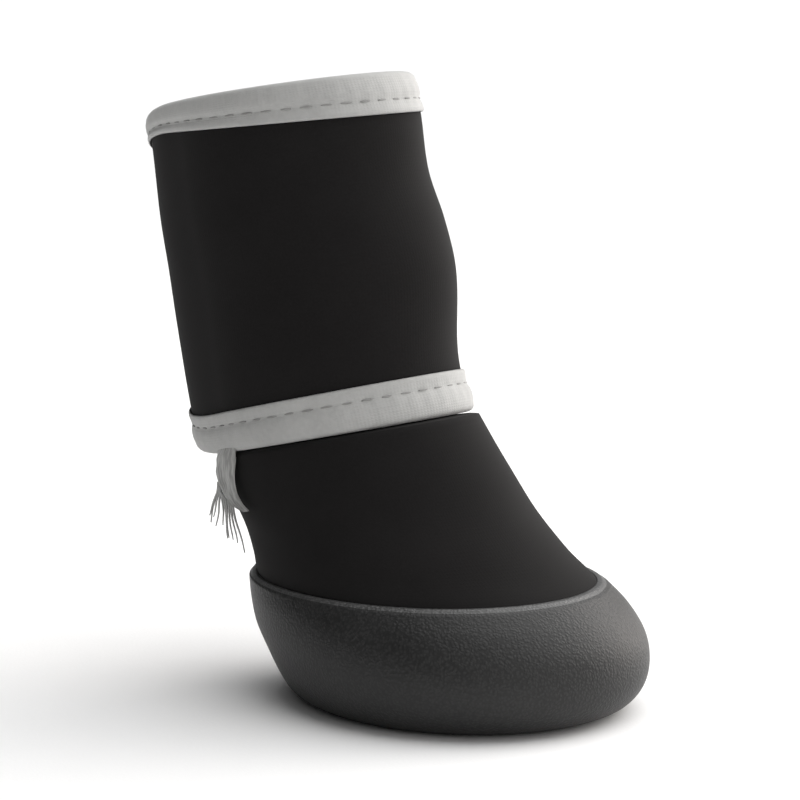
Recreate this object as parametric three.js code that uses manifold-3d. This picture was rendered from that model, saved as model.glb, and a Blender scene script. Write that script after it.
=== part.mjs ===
// A dog boot: a moulded rubber cup sole, a soft hollow upper, and a shaft that is one bound
// panel of cloth wrapped round the ankle, lapped over itself at the back and held by a strap.
//
// Millimetres. +X is towards the toe, +Y the boot's left, +Z up. The origin is on the floor,
// under the middle of the tread. Angles round the boot start at the toe and grow to the left.

import * as THREE from "three";
import Module from "manifold-3d";
import { mergeVertices } from "three/addons/utils/BufferGeometryUtils.js";

const wasm = await Module();
wasm.setup();

// Driving dimensions of the sole
const soleLength = 76;
const soleWidth = 60;
const soleFloor = 4;
const rimHeightToe = 21;
const rimHeightHeel = 20.2;
const lipRound = 0.5;

// Driving dimensions of the insole
const insoleThickness = 3;

// Driving dimensions of the upper
const upperWall = 1.8;
const upperTuck = 13;

// Driving dimensions of the shaft
const ankleSetback = 25.4;
const ankleHeight = 44.9;
const shaftHeight = 58;
const shaftDepth = 48;
const shaftWidth = 42;
const shaftLean = 12.9;
const shaftWall = 1.8;
const collarRise = 2.4;

// Driving dimensions of the edge tape and the strap
const tapeWidth = 6.5;
const tapeThickness = 0.8;
const collarNarrowing = 3.2;
const ankleNarrowing = 0.8;
const strapHeight = 32;
const strapWall = 1.6;
const patchThickness = 0.8;
const tailLength = 11;
const tailWidth = 4.4;

// Clearance between two faces that meet
const gap = 0.3;

// Angles on the shaft, in degrees: the panel runs from its tucked end on the left, forward
// round the toe side and the right side, and back round the heel to the end of its flap.
const tuckedAngle = 190;
const flapStartAngle = -120;
const flapEndAngle = -220;
const liftStartAngle = -112;
const liftEndAngle = -168;
const strapBaseAngle = 70;
const strapTipAngle = 176;
const climbAngle = 42;
const climbRestAngle = 6;
const patchAngle = 80;
const tailAngle = -116;

// Shape settings
const aroundSteps = 36;
const plainSteps = 26;
const flapSteps = 17;
const flapRoundness = 2.1;
const endCut = 0.99;
const tuckedCorner = 10;
const eggShare = 0.05;
const strapMiddle = 0.52;

// Heights up the sole's side as shares of the rim, and its reach forward, back and sideways
// as shares of half the sole's length and width.
const soleRows = [
  { rise: 0.0, front: 0.725, rear: 0.7, side: 0.76 },
  { rise: 0.025, front: 0.79, rear: 0.755, side: 0.825 },
  { rise: 0.1, front: 0.87, rear: 0.81, side: 0.895 },
  { rise: 0.24, front: 0.93, rear: 0.862, side: 0.95 },
  { rise: 0.42, front: 0.945, rear: 0.915, side: 0.99 },
  { rise: 0.62, front: 0.92, rear: 0.985, side: 0.995 },
  { rise: 0.82, front: 0.837, rear: 1.025, side: 0.965 },
  { rise: 1.0, front: 0.72, rear: 1.055, side: 0.905 },
];

// The upper inside the cup, from its turned-in bottom edge to the rim: heights as shares of
// the rim's height over the cup's floor, and reaches as shares like the sole's.
const footRows = [
  { rise: 0.03, front: 0.775, rear: 0.715, side: 0.77 },
  { rise: 0.12, front: 0.862, rear: 0.79, side: 0.865 },
  { rise: 0.28, front: 0.873, rear: 0.85, side: 0.898 },
  { rise: 0.5, front: 0.85, rear: 0.905, side: 0.91 },
  { rise: 0.75, front: 0.775, rear: 0.955, side: 0.89 },
  { rise: 1.0, front: 0.68, rear: 1.012, side: 0.86 },
];

// The upper from the rim to the ankle: how far each section has gone of the way between.
const vampRows = [
  { frontRun: 0.26, frontRise: 0.16, rearRun: 0.08, rearRise: 0.22, narrowing: 0.17 },
  { frontRun: 0.51, frontRise: 0.39, rearRun: 0.32, rearRise: 0.46, narrowing: 0.39 },
  { frontRun: 0.785, frontRise: 0.72, rearRun: 0.82, rearRise: 0.79, narrowing: 0.74 },
];

// The shaft's sections: height as a share of the shaft's, shift forward and half depth as
// shares of the shaft's depth, and half width as a share of its width.
const shaftRows = [
  { rise: 0.0, shift: 0.006, depth: 0.503, width: 0.5 },
  { rise: 0.14, shift: -0.008, depth: 0.502, width: 0.5 },
  { rise: 0.41, shift: 0.023, depth: 0.529, width: 0.507 },
  { rise: 0.565, shift: 0.023, depth: 0.515, width: 0.505 },
  { rise: 0.72, shift: 0.0, depth: 0.5, width: 0.5 },
  { rise: 0.9, shift: 0.014, depth: 0.498, width: 0.495 },
  { rise: 1.0, shift: 0.009, depth: 0.486, width: 0.49 },
];

// The tail of the edge tape below the ankle: how far down, how far it has curled forward, how
// far it stands off and its width, as shares of its length and width.
const tailRows = [
  { down: -0.1, curl: 0.0, off: 0.0, width: 1.0 },
  { down: 0.15, curl: -0.05, off: 0.02, width: 1.05 },
  { down: 0.4, curl: -0.07, off: 0.08, width: 1.1 },
  { down: 0.65, curl: 0.04, off: 0.12, width: 0.9 },
  { down: 0.85, curl: 0.24, off: 0.14, width: 0.55 },
  { down: 1.0, curl: 0.46, off: 0.14, width: 0.2 },
];

// How far the cloth bulges out under the shaft, in millimetres: at its front, rear and sides.
const bulge = { front: 0.85, rear: -0.2, side: 0.0 };

// The tread: wavy grooves in two columns, with a smooth strip between them.
const grooveRows = 9;
const grooveWidth = 1.1;
const grooveDepth = 0.8;
const grooveSway = 0.75;
const grooveWave = 7.6;
const grooveSteps = 9;
const treadStrip = 9;
const treadMargin = 3.5;

// Small helpers

const radians = (degrees) => (degrees * Math.PI) / 180;
const mix = (a, b, share) => a + (b - a) * share;
const ease = (share) => {
  const t = Math.min(1, Math.max(0, share));
  return t * t * (3 - 2 * t);
};
const steps = (count) => Array.from({ length: count + 1 }, (_, i) => i / count);

// A smooth reading of a table's column at a place along another column, straight past its ends.
function readTable(rows, along, column, place) {
  const last = rows.length - 1;
  let i = rows.findIndex((row) => row[along] > place) - 1;
  if (i === -2) i = last - 1;
  i = Math.max(0, i);
  const [a, b] = [rows[i], rows[i + 1]];
  const before = rows[Math.max(0, i - 1)];
  const after = rows[Math.min(last, i + 2)];
  const span = b[along] - a[along];
  const t = (place - a[along]) / span;
  const slopeIn = ((b[column] - before[column]) / (b[along] - before[along])) * span;
  const slopeOut = ((after[column] - a[column]) / (after[along] - a[along])) * span;
  if (t < 0) return a[column] + t * (b[column] - a[column]);
  if (t > 1) return b[column] + (t - 1) * (b[column] - a[column]);
  const [t2, t3] = [t * t, t * t * t];
  return (
    (2 * t3 - 3 * t2 + 1) * a[column] +
    (t3 - 2 * t2 + t) * slopeIn +
    (3 * t2 - 2 * t3) * b[column] +
    (t3 - t2) * slopeOut
  );
}

// A section of the boot is an oval in a plane that may lean: it runs from a front point to a
// rear point, each given by x and z, and is as wide as two half widths.
function ovalPoint(oval, degrees, out = 0, egg = 0) {
  const angle = radians(degrees);
  const along = new THREE.Vector3(oval.frontX - oval.rearX, 0, oval.frontZ - oval.rearZ);
  const reach = along.length() / 2;
  along.normalize();
  const [c, s] = [Math.cos(angle), Math.sin(angle)];
  const normal = new THREE.Vector2(c / reach, s / oval.half).normalize();
  const forward = reach * c + normal.x * out;
  const sideways = oval.half * s * (1 + egg * c) + normal.y * out;
  return new THREE.Vector3((oval.frontX + oval.rearX) / 2, 0, (oval.frontZ + oval.rearZ) / 2)
    .addScaledVector(along, forward)
    .add(new THREE.Vector3(0, sideways, 0));
}

// The rim's height at an angle round the sole
function rimHeight(degrees) {
  return mix(rimHeightHeel, rimHeightToe, (1 + Math.cos(radians(degrees))) / 2);
}

// The shaft's section at a height share, and a point on its outer face
function shaftOval(share) {
  const lean = radians(shaftLean);
  const shift = readTable(shaftRows, "rise", "shift", share) * shaftDepth;
  const reach = readTable(shaftRows, "rise", "depth", share) * shaftDepth;
  const half = readTable(shaftRows, "rise", "width", share) * shaftWidth;
  const up = share * shaftHeight;
  const x = -ankleSetback - Math.sin(lean) * up + Math.cos(lean) * shift;
  const z = ankleHeight + Math.cos(lean) * up + Math.sin(lean) * shift;
  const [dx, dz] = [Math.cos(lean) * reach, Math.sin(lean) * reach];
  return { frontX: x + dx, frontZ: z + dz, rearX: x - dx, rearZ: z - dz, half };
}

// The lapping flap stands clear of the tucked end by its wall, a tape each side and the gaps.
const bound = gap + tapeThickness;
const flapLift = shaftWall + 2 * bound + gap;
const liftAt = (u) => flapLift * ease((u - liftStartAngle) / (liftEndAngle - liftStartAngle));
const shaftPoint = (u, v, out) => ovalPoint(shaftOval(v), u, liftAt(u) + out);

// The strap lies on the panel's left side, then climbs over the flap's bound edge.
const strapLow = bound + gap;
const strapHigh = flapLift + bound + gap + bound;
const flapEdge = 360 + mix(flapStartAngle, flapEndAngle, endCut);
const strapClimbEnd = flapEdge - climbRestAngle;
const strapClimbStart = strapClimbEnd - climbAngle;
const strapPoint = (u, v, out) => {
  const climb = ease((u - strapClimbStart) / (strapClimbEnd - strapClimbStart));
  return ovalPoint(shaftOval(v), u, mix(strapLow, strapHigh, climb) + strapWall + out);
};

// Building closed meshes

// A solid from points and faces; the faces are turned round if they point inwards.
function solid(points, faces) {
  let volume = 0;
  const cross = new THREE.Vector3();
  for (const [a, b, c] of faces) {
    volume += points[a].dot(cross.crossVectors(points[b], points[c]));
  }
  const turned = volume < 0 ? faces.map(([a, b, c]) => [a, c, b]) : faces;
  const geometry = new THREE.BufferGeometry();
  geometry.setAttribute(
    "position",
    new THREE.Float32BufferAttribute(points.flatMap((p) => p.toArray()), 3),
  );
  geometry.setIndex(turned.flat());
  const merged = mergeVertices(geometry, 1e-4);
  const vertProperties = merged.attributes.position.array;
  const triVerts = new Uint32Array(merged.index.array);
  return new wasm.Manifold(new wasm.Mesh({ numProp: 3, vertProperties, triVerts }));
}

// The two triangles of each cell between two loops of points
function band(faces, from, to, count, closed = true) {
  for (let j = 0; j < (closed ? count : count - 1); j += 1) {
    const k = (j + 1) % count;
    faces.push([from + j, from + k, to + k], [from + j, to + k, to + j]);
  }
}

// A ring-shaped solid: loops of points, each joined to the next and the last to the first
function ringSolid(loops) {
  const count = loops[0].length;
  const faces = [];
  loops.forEach((_, i) => band(faces, i * count, ((i + 1) % loops.length) * count, count));
  return solid(loops.flat(), faces);
}

// A bowl-shaped solid: loops of points, closed by a fan to a point at each end
function bowlSolid(loops, first, last) {
  const count = loops[0].length;
  const points = [...loops.flat(), first, last];
  const faces = [];
  for (let i = 0; i + 1 < loops.length; i += 1) band(faces, i * count, (i + 1) * count, count);
  const end = (loops.length - 1) * count;
  for (let j = 0; j < count; j += 1) {
    const k = (j + 1) % count;
    faces.push([points.length - 2, k, j], [points.length - 1, end + j, end + k]);
  }
  return solid(points, faces);
}

// A swept solid: sections of the same outline along a path. Its ends are closed, or meet in a
// loop. An outline's points come in pairs across it: first and last, second and last but one.
function sweptSolid(sections, closed = false) {
  const count = sections[0].length;
  const faces = [];
  for (let i = 0; i + 1 < sections.length; i += 1) band(faces, i * count, (i + 1) * count, count);
  const end = (sections.length - 1) * count;
  if (closed) band(faces, end, 0, count);
  for (let i = 0; !closed && i < count / 2 - 1; i += 1) {
    const [a, b, c, d] = [i, i + 1, count - 2 - i, count - 1 - i];
    faces.push([a, c, b], [a, d, c], [end + a, end + b, end + c], [end + a, end + c, end + d]);
  }
  return solid(sections.flat(), faces);
}

// A panel of cloth on a curved face. place(u, v, out) gives its points, columns lists the u of
// each column, edges(u) gives the lowest and highest v there, and shares the rows between.
function panelSolid(place, columns, edges, outer, inner, shares) {
  const outline = [
    ...shares.map((share) => new THREE.Vector2(share, 1)),
    ...shares.map((share) => new THREE.Vector2(1 - share, 0)),
  ];
  const sections = columns.map((u) => {
    const [low, high] = edges(u);
    return outline.map((p) => place(u, mix(low, high, p.x), p.y ? outer : inner));
  });
  return sweptSolid(sections);
}

// Edge tape: a folded U that straddles a panel's edge, along a path of [u, v] on the panel.
// wall is the panel's thickness, and the panel's outer face is where out is 0. A point of its
// section is given by a share of the tape's width, a distance more and a distance outwards.
function tapeSolid(place, path, wall, closed, width = () => tapeWidth) {
  const middle = -wall / 2;
  const inside = wall / 2 + gap;
  const outside = inside + tapeThickness;
  const outerSide = [
    [1, 0, outside],
    [0.45, 0, outside],
    [0, 0, outside],
    [0, -bound, outside * 0.55],
  ];
  const innerSide = [
    [0, -gap, inside],
    [0, 0, inside],
    [0.45, 0, inside],
    [1, 0, inside],
  ];
  const mirrored = (side) => side.map(([share, x, y]) => [share, x, -y]).reverse();
  const outline = [...outerSide, ...mirrored(outerSide), ...mirrored(innerSide), ...innerSide];
  const sections = path.map(([u, v], i) => {
    const wrap = (k) => (closed ? (k + path.length) % path.length : k);
    const [u0, v0] = path[wrap(Math.max(closed ? -1 : 0, i - 1))];
    const [u1, v1] = path[wrap(Math.min(path.length - (closed ? 0 : 1), i + 1))];
    const perU = place(u + 0.5, v, 0).distanceTo(place(u - 0.5, v, 0));
    const perV = place(u, v + 0.005, 0).distanceTo(place(u, v - 0.005, 0)) * 100;
    const inward = new THREE.Vector2(-(v1 - v0) * perV, (u1 - u0) * perU).normalize();
    return outline.map(([share, margin, y]) => {
      const x = share * width(u, v) + margin;
      return place(u + (inward.x * x) / perU, v + (inward.y * x) / perV, middle + y);
    });
  });
  return sweptSolid(sections, closed);
}

// A named mesh from a solid
function mesh(name, shape, material) {
  const made = shape.getMesh();
  const geometry = new THREE.BufferGeometry();
  geometry.setAttribute("position", new THREE.BufferAttribute(made.vertProperties, 3));
  geometry.setIndex(new THREE.BufferAttribute(made.triVerts, 1));
  geometry.computeVertexNormals();
  const node = new THREE.Mesh(geometry, material);
  node.name = name;
  return node;
}

// The upper

const around = steps(aroundSteps)
  .slice(0, -1)
  .map((share) => share * 360);

// The upper's sections inside the cup, up to the rim
function footOval(row) {
  const [half, side] = [soleLength / 2, soleWidth / 2];
  return {
    frontX: row.front * half,
    frontZ: mix(soleFloor + gap, rimHeightToe, row.rise),
    rearX: -row.rear * half,
    rearZ: mix(soleFloor + gap, rimHeightHeel, row.rise),
    half: row.side * side,
    egg: eggShare,
  };
}

// The section just under the shaft's bound edge, where the cloth bulges out
const shoulderDrop = -bound - gap;
const underEdge = -(shoulderDrop - gap) / shaftHeight;
function ankleOval() {
  const oval = shaftOval(-underEdge);
  const lean = radians(shaftLean);
  return {
    frontX: oval.frontX + Math.cos(lean) * bulge.front * upperWall,
    frontZ: oval.frontZ + Math.sin(lean) * bulge.front * upperWall,
    rearX: oval.rearX - Math.cos(lean) * bulge.rear * upperWall,
    rearZ: oval.rearZ - Math.sin(lean) * bulge.rear * upperWall,
    half: oval.half + bulge.side * upperWall,
    egg: 0,
  };
}

// A section on the way from the rim to the ankle
function vampOval(rim, ankle, row) {
  return {
    frontX: mix(rim.frontX, ankle.frontX, row.frontRun),
    frontZ: mix(rim.frontZ, ankle.frontZ, row.frontRise),
    rearX: mix(rim.rearX, ankle.rearX, row.rearRun),
    rearZ: mix(rim.rearZ, ankle.rearZ, row.rearRise),
    half: mix(rim.half, ankle.half, row.narrowing),
    egg: eggShare * (1 - row.narrowing),
  };
}

const rimOval = footOval(footRows[footRows.length - 1]);
const ankle = ankleOval();
const lowerOvals = [
  ...footRows.map(footOval),
  ...vampRows.map((row) => vampOval(rimOval, ankle, row)),
  ankle,
];
lowerOvals.forEach((oval, i) => {
  oval.place = i;
});

// The upper's outer section at any place between the bottom edge and the ankle
function upperOval(place) {
  const oval = {};
  for (const column of ["frontX", "frontZ", "rearX", "rearZ", "half", "egg"]) {
    oval[column] = readTable(lowerOvals, "place", column, place);
  }
  return oval;
}

// The upper's outline inside the shaft is the shaft's, less its wall, its tape and the gaps.
const tuckInset = shaftWall + bound + gap;

// A point on the upper's outer face, between its bottom edge and the ankle
function upperPoint(place, degrees, out) {
  const oval = upperOval(place);
  return ovalPoint(oval, degrees, out, oval.egg);
}

// The places of the upper's loops, closer together where it curves most
const footPlaces = [];
for (let i = 0; i + 1 < lowerOvals.length; i += 1) {
  const parts = i >= footRows.length - 1 ? 2 : 1;
  for (let k = 0; k < parts; k += 1) footPlaces.push(i + k / parts);
}
footPlaces.push(lowerOvals.length - 1);

function makeUpper() {
  const footLoops = (places, inset) =>
    places.map((place) => around.map((a) => upperPoint(place, a, -inset)));
  const tuckLoops = (from, inset) =>
    [from, upperTuck / 2, upperTuck].map((rise) =>
      around.map((a) => ovalPoint(shaftOval(rise / shaftHeight), a, -tuckInset - inset)),
    );
  const outer = [...footLoops(footPlaces, 0), ...tuckLoops(shoulderDrop, 0)];
  const inner = [
    ...footLoops(footPlaces.slice(0, -1), upperWall),
    ...tuckLoops(shoulderDrop - 0.8 * upperWall, upperWall),
  ];
  return ringSolid([...outer, ...inner.reverse()]);
}

// The sole

// The outer face of the cup at a share of the rim's height
function solePoint(degrees, row) {
  const z = row.rise * rimHeight(degrees);
  const [half, side] = [soleLength / 2, soleWidth / 2];
  const oval = { frontX: row.front * half, rearX: -row.rear * half, half: row.side * side };
  return ovalPoint({ ...oval, frontZ: z, rearZ: z }, degrees, 0, eggShare);
}

// The wavy grooves of the tread, as one solid to cut away
function makeGrooves() {
  const rowTread = soleRows[0];
  const toeEnd = (rowTread.front * soleLength) / 2;
  const heelEnd = (-rowTread.rear * soleLength) / 2;
  const middle = (toeEnd + heelEnd) / 2;
  const reach = (toeEnd - heelEnd) / 2;
  const pitch = (2 * (reach - treadMargin)) / grooveRows;
  let grooves = null;
  for (let i = 0; i < grooveRows; i += 1) {
    const x = heelEnd + treadMargin + pitch * (i + 0.5);
    const wide = (rowTread.side * soleWidth) / 2;
    const share = Math.min(0.97, (Math.abs(x - middle) + grooveSway + grooveWidth) / reach);
    const outerEnd = wide * Math.sqrt(1 - share * share) - treadMargin;
    const innerEnd = treadStrip / 2;
    if (outerEnd - innerEnd < 2 * grooveWidth) continue;
    for (const side of [1, -1]) {
      const line = steps(grooveSteps).map((t) => {
        const along = t * (outerEnd - innerEnd);
        const wave = Math.sin((along / grooveWave) * 2 * Math.PI);
        return [x + grooveSway * wave, side * (innerEnd + along)];
      });
      const half = grooveWidth / 2;
      const outline = [
        ...line.map(([a, b]) => new THREE.Vector2(a + half, b)),
        ...line.reverse().map(([a, b]) => new THREE.Vector2(a - half, b)),
      ];
      const shape = new THREE.Shape(outline);
      const cut = new THREE.ExtrudeGeometry(shape, { depth: 2 * grooveDepth, bevelEnabled: false });
      cut.translate(0, 0, -grooveDepth);
      cut.deleteAttribute("normal");
      cut.deleteAttribute("uv");
      const merged = mergeVertices(cut, 1e-4);
      const position = merged.attributes.position;
      const points = [];
      for (let k = 0; k < position.count; k += 1) {
        points.push(new THREE.Vector3().fromBufferAttribute(position, k));
      }
      const faces = [];
      for (let k = 0; k < merged.index.count; k += 3) {
        faces.push([0, 1, 2].map((n) => merged.index.getX(k + n)));
      }
      const groove = solid(points, faces);
      grooves = grooves ? grooves.add(groove) : groove;
    }
  }
  return grooves;
}

function makeSole() {
  const rim = soleRows[soleRows.length - 1];
  const outer = soleRows.map((row) => around.map((a) => solePoint(a, row)));
  // The lip leans in from the outer face to a rounded edge against the upper.
  const inner = footPlaces
    .filter((place) => place <= footRows.length - 1)
    .reverse()
    .map((place) => around.map((a) => upperPoint(place, a, gap)));
  const lip = around.map((a, i) => {
    const edge = solePoint(a, rim).lerp(inner[0][i], 0.45);
    return edge.add(new THREE.Vector3(0, 0, lipRound));
  });
  const floorLoop = inner.at(-1).map((p) => new THREE.Vector3(p.x, p.y, soleFloor));
  const cup = bowlSolid(
    [...outer, lip, ...inner, floorLoop],
    new THREE.Vector3(0, 0, 0),
    new THREE.Vector3(0, 0, soleFloor),
  );
  return cup.subtract(makeGrooves());
}

// The insole lies on the cup's floor, inside the upper.
function makeInsole() {
  const bottom = soleFloor + gap;
  const top = bottom + insoleThickness;
  const edge = (z, inset) =>
    around.map((a) => {
      const p = upperPoint(0, a, -upperWall - gap - inset);
      return new THREE.Vector3(p.x, p.y, z);
    });
  const round = insoleThickness / 4;
  return bowlSolid(
    [edge(bottom, round), edge(bottom + round, 0), edge(top - round, 0), edge(top, round)],
    new THREE.Vector3(0, 0, bottom),
    new THREE.Vector3(0, 0, top),
  );
}

// The shaft panel

// The lowest and highest share of the panel at an angle: full height along the middle, a
// large rounded flap at one end, and rounded corners at the end that is tucked in.
const cornerShare = tuckedCorner / shaftHeight;
const cornerTurn = (tuckedCorner / (shaftDepth / 2)) * (180 / Math.PI);
function flapHalf(t) {
  return 0.5 * Math.pow(1 - Math.pow(t, flapRoundness), 1 / flapRoundness);
}

// How far round to the back an angle is: 0 at the toe side, 1 at the heel side
const backness = (u) => (1 - Math.cos(radians(u))) / 2;

function shaftEdges(u) {
  let half = 0.5;
  const flapShare = (u - flapStartAngle) / (flapEndAngle - flapStartAngle);
  if (flapShare > 0) half = flapHalf(Math.min(endCut, flapShare));
  const t = Math.max(0, (u - (tuckedAngle - cornerTurn)) / cornerTurn);
  if (t > 0) half = 0.5 - cornerShare * (1 - Math.sqrt(Math.max(0, 1 - t * t)));
  const top = 1 + (collarRise / shaftHeight) * backness(u);
  return [top * (0.5 - half), top * (0.5 + half)];
}

// Places along the flap and along the tucked corner, closer together towards their ends
const flapPlaces = steps(flapSteps).map((share) => {
  const t = endCut * Math.sin((share * Math.PI) / 2);
  return mix(flapStartAngle, flapEndAngle, t);
});
const cornerPlaces = steps(4).map(
  (share) => tuckedAngle - cornerTurn * (1 - Math.sin((share * Math.PI) / 2)),
);
const plainPlaces = steps(plainSteps).map((share) =>
  mix(tuckedAngle - cornerTurn, flapStartAngle, share),
);
const panelColumns = [...cornerPlaces.slice(1).reverse(), ...plainPlaces, ...flapPlaces.slice(1)];

const tapeShare = tapeWidth / shaftHeight;
const panelRows = [0, tapeShare, 0.3, 0.5, 0.7, 1 - tapeShare, 1];
const makeShaft = () => panelSolid(shaftPoint, panelColumns, shaftEdges, 0, -shaftWall, panelRows);

// The tape runs all round the panel: down the tucked end, along the ankle, round the flap and
// back along the collar.
function makeBinding() {
  const low = panelColumns.map((u) => [u, shaftEdges(u)[0]]);
  const high = panelColumns.map((u) => [u, shaftEdges(u)[1]]).reverse();
  const upright = panelRows
    .slice(1, -1)
    .map((share) => [panelColumns[0], mix(low[0][1], high.at(-1)[1], share)])
    .reverse();
  const tip = (low.at(-1)[1] + high[0][1]) / 2;
  const path = [...low, [panelColumns.at(-1), tip], ...high, ...upright];
  const width = (u, v) => tapeWidth - mix(ankleNarrowing, collarNarrowing, ease(v)) * backness(u);
  const ring = tapeSolid(shaftPoint, path.reverse(), shaftWall, true, width);
  return ring.add(makeTail());
}

// The spare end of the tape hangs below the ankle, folded and curled.
function makeTail() {
  const perV = shaftHeight;
  const perU = shaftPoint(tailAngle + 0.5, 0, 0).distanceTo(shaftPoint(tailAngle - 0.5, 0, 0));
  const start = bound * 0.5;
  const outline = [
    [-0.5, 1],
    [0.5, 1],
    [0.5, 0],
    [-0.5, 0],
  ].map(([x, y]) => new THREE.Vector2(x, y));
  const sections = tailRows.map((row) => {
    const v = -(start + row.down * tailLength) / perV;
    const turn = (row.curl * tailLength) / perU;
    const width = (row.width * tailWidth) / perU;
    const under = gap + row.off * tailLength;
    return outline.map((p) =>
      shaftPoint(tailAngle + turn + p.x * width, v, under + (0.2 + p.y) * tapeThickness),
    );
  });
  return sweptSolid(sections);
}

// The strap: a tab with a round end, bound on all but its sewn end

const strapHalf = strapHeight / 2;
const strapPerU = ((shaftDepth / 2 + strapHigh) * Math.PI) / 180;
const strapRound = (radius) => radius / strapPerU;

// The edges of a tab with a half-round end, of a half height and its round end's last angle
function tabEdges(half, tip) {
  const round = strapRound(half);
  return (u) => {
    const t = Math.min(endCut, Math.max(0, (u - (tip - round)) / round));
    const reach = (half * Math.sqrt(1 - t * t)) / shaftHeight;
    return [strapMiddle - reach, strapMiddle + reach];
  };
}
function tabColumns(from, half, tip, straightSteps, roundSteps) {
  const start = tip - strapRound(half);
  const straight = steps(straightSteps).map((share) => mix(from, start, share));
  const curved = steps(roundSteps)
    .slice(1)
    .map((share) => start + strapRound(half) * endCut * Math.sin((share * Math.PI) / 2));
  return [...straight, ...curved];
}

const strapEdges = tabEdges(strapHalf, strapTipAngle);
const strapColumns = tabColumns(strapBaseAngle, strapHalf, strapTipAngle, 14, 7);
const strapRows = [0, tapeWidth / strapHeight, 0.5, 1 - tapeWidth / strapHeight, 1];
const makeStrap = () => panelSolid(strapPoint, strapColumns, strapEdges, 0, -strapWall, strapRows);

function makeStrapBinding() {
  const low = strapColumns.map((u) => [u, strapEdges(u)[0]]);
  const high = strapColumns.map((u) => [u, strapEdges(u)[1]]).reverse();
  const path = [...low, [strapColumns.at(-1), strapMiddle], ...high];
  return tapeSolid(strapPoint, path, strapWall, false);
}

// The smooth patch fills the window inside the strap's tape.
const patchHalf = strapHalf - tapeWidth - 2 * gap;
const patchTip = strapTipAngle - strapRound(tapeWidth + 2 * gap);
function makePatch() {
  const columns = tabColumns(patchAngle, patchHalf, patchTip, 10, 5);
  const edges = tabEdges(patchHalf, patchTip);
  return panelSolid(strapPoint, columns, edges, gap + patchThickness, gap, [0, 0.5, 1]);
}

// Materials

const rubber = new THREE.MeshStandardMaterial({ color: 0x2b2b2b, roughness: 0.55, metalness: 0 });
const cloth = new THREE.MeshStandardMaterial({ color: 0x161616, roughness: 0.9, metalness: 0 });
const tape = new THREE.MeshStandardMaterial({ color: 0x8f8f8f, roughness: 0.7, metalness: 0 });
const foam = new THREE.MeshStandardMaterial({ color: 0x1c1c1c, roughness: 0.95, metalness: 0 });
const gloss = new THREE.MeshStandardMaterial({ color: 0x0b0b0b, roughness: 0.25, metalness: 0 });

const boot = new THREE.Group();
boot.add(
  mesh("sole", makeSole(), rubber),
  mesh("insole", makeInsole(), foam),
  mesh("upper", makeUpper(), cloth),
  mesh("shaft", makeShaft(), cloth),
  mesh("shaft_binding", makeBinding(), tape),
  mesh("strap", makeStrap(), cloth),
  mesh("strap_binding", makeStrapBinding(), tape),
  mesh("strap_patch", makePatch(), gloss),
);

export default boot;
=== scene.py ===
"""A dog boot, dressed for its picture.

A moulded rubber cup sole, a soft hollow upper, and a shaft that is one bound panel of
softshell wrapped round the ankle, lapped over itself at the back and held by a strap.
Sizes are in millimetres in the frame of the solids; meshes are made in metres.
"""

import logging
import math
from collections.abc import Callable, Sequence
from dataclasses import dataclass, field
from enum import Enum

import bpy
import numpy as np
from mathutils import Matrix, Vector


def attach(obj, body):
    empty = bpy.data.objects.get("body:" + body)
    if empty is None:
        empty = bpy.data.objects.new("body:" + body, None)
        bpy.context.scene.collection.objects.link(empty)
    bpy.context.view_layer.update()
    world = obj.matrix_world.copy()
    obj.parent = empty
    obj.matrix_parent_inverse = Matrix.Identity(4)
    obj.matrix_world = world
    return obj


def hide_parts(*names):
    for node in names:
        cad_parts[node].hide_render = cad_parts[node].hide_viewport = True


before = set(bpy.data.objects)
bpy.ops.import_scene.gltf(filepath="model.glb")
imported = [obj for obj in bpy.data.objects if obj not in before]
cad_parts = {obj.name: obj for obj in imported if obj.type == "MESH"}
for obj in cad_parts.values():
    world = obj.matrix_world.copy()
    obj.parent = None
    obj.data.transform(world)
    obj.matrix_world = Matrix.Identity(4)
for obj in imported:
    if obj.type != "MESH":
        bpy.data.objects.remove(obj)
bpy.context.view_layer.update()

log = logging.getLogger("dog_boot")
MM = 0.001
PRESSED = 0.58  # how much of the tape's thickness stays where it is pressed on the panel
SEWN = 0.62  # where the tape is sewn through, as a share of its width
STITCH_PITCH = 3.5  # from one stitch to the next, in millimetres
WAVE_PERIOD = 0.314  # a wave texture of scale 1 repeats at this distance

Placer = Callable[[np.ndarray, np.ndarray, np.ndarray], np.ndarray]


# Small mathematics


def mix(a: float, b: float, share: float) -> float:
    """Goes a share of the way from a to b."""
    return a + (b - a) * share


def ease(share: np.ndarray) -> np.ndarray:
    """Goes smoothly from 0 to 1."""
    t = np.clip(share, 0.0, 1.0)
    return t * t * (3 - 2 * t)


def hump(distance: np.ndarray) -> np.ndarray:
    """A soft round hump: 1 at distance 0, nearly nothing past 2."""
    return np.exp(-distance * distance)


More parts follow.
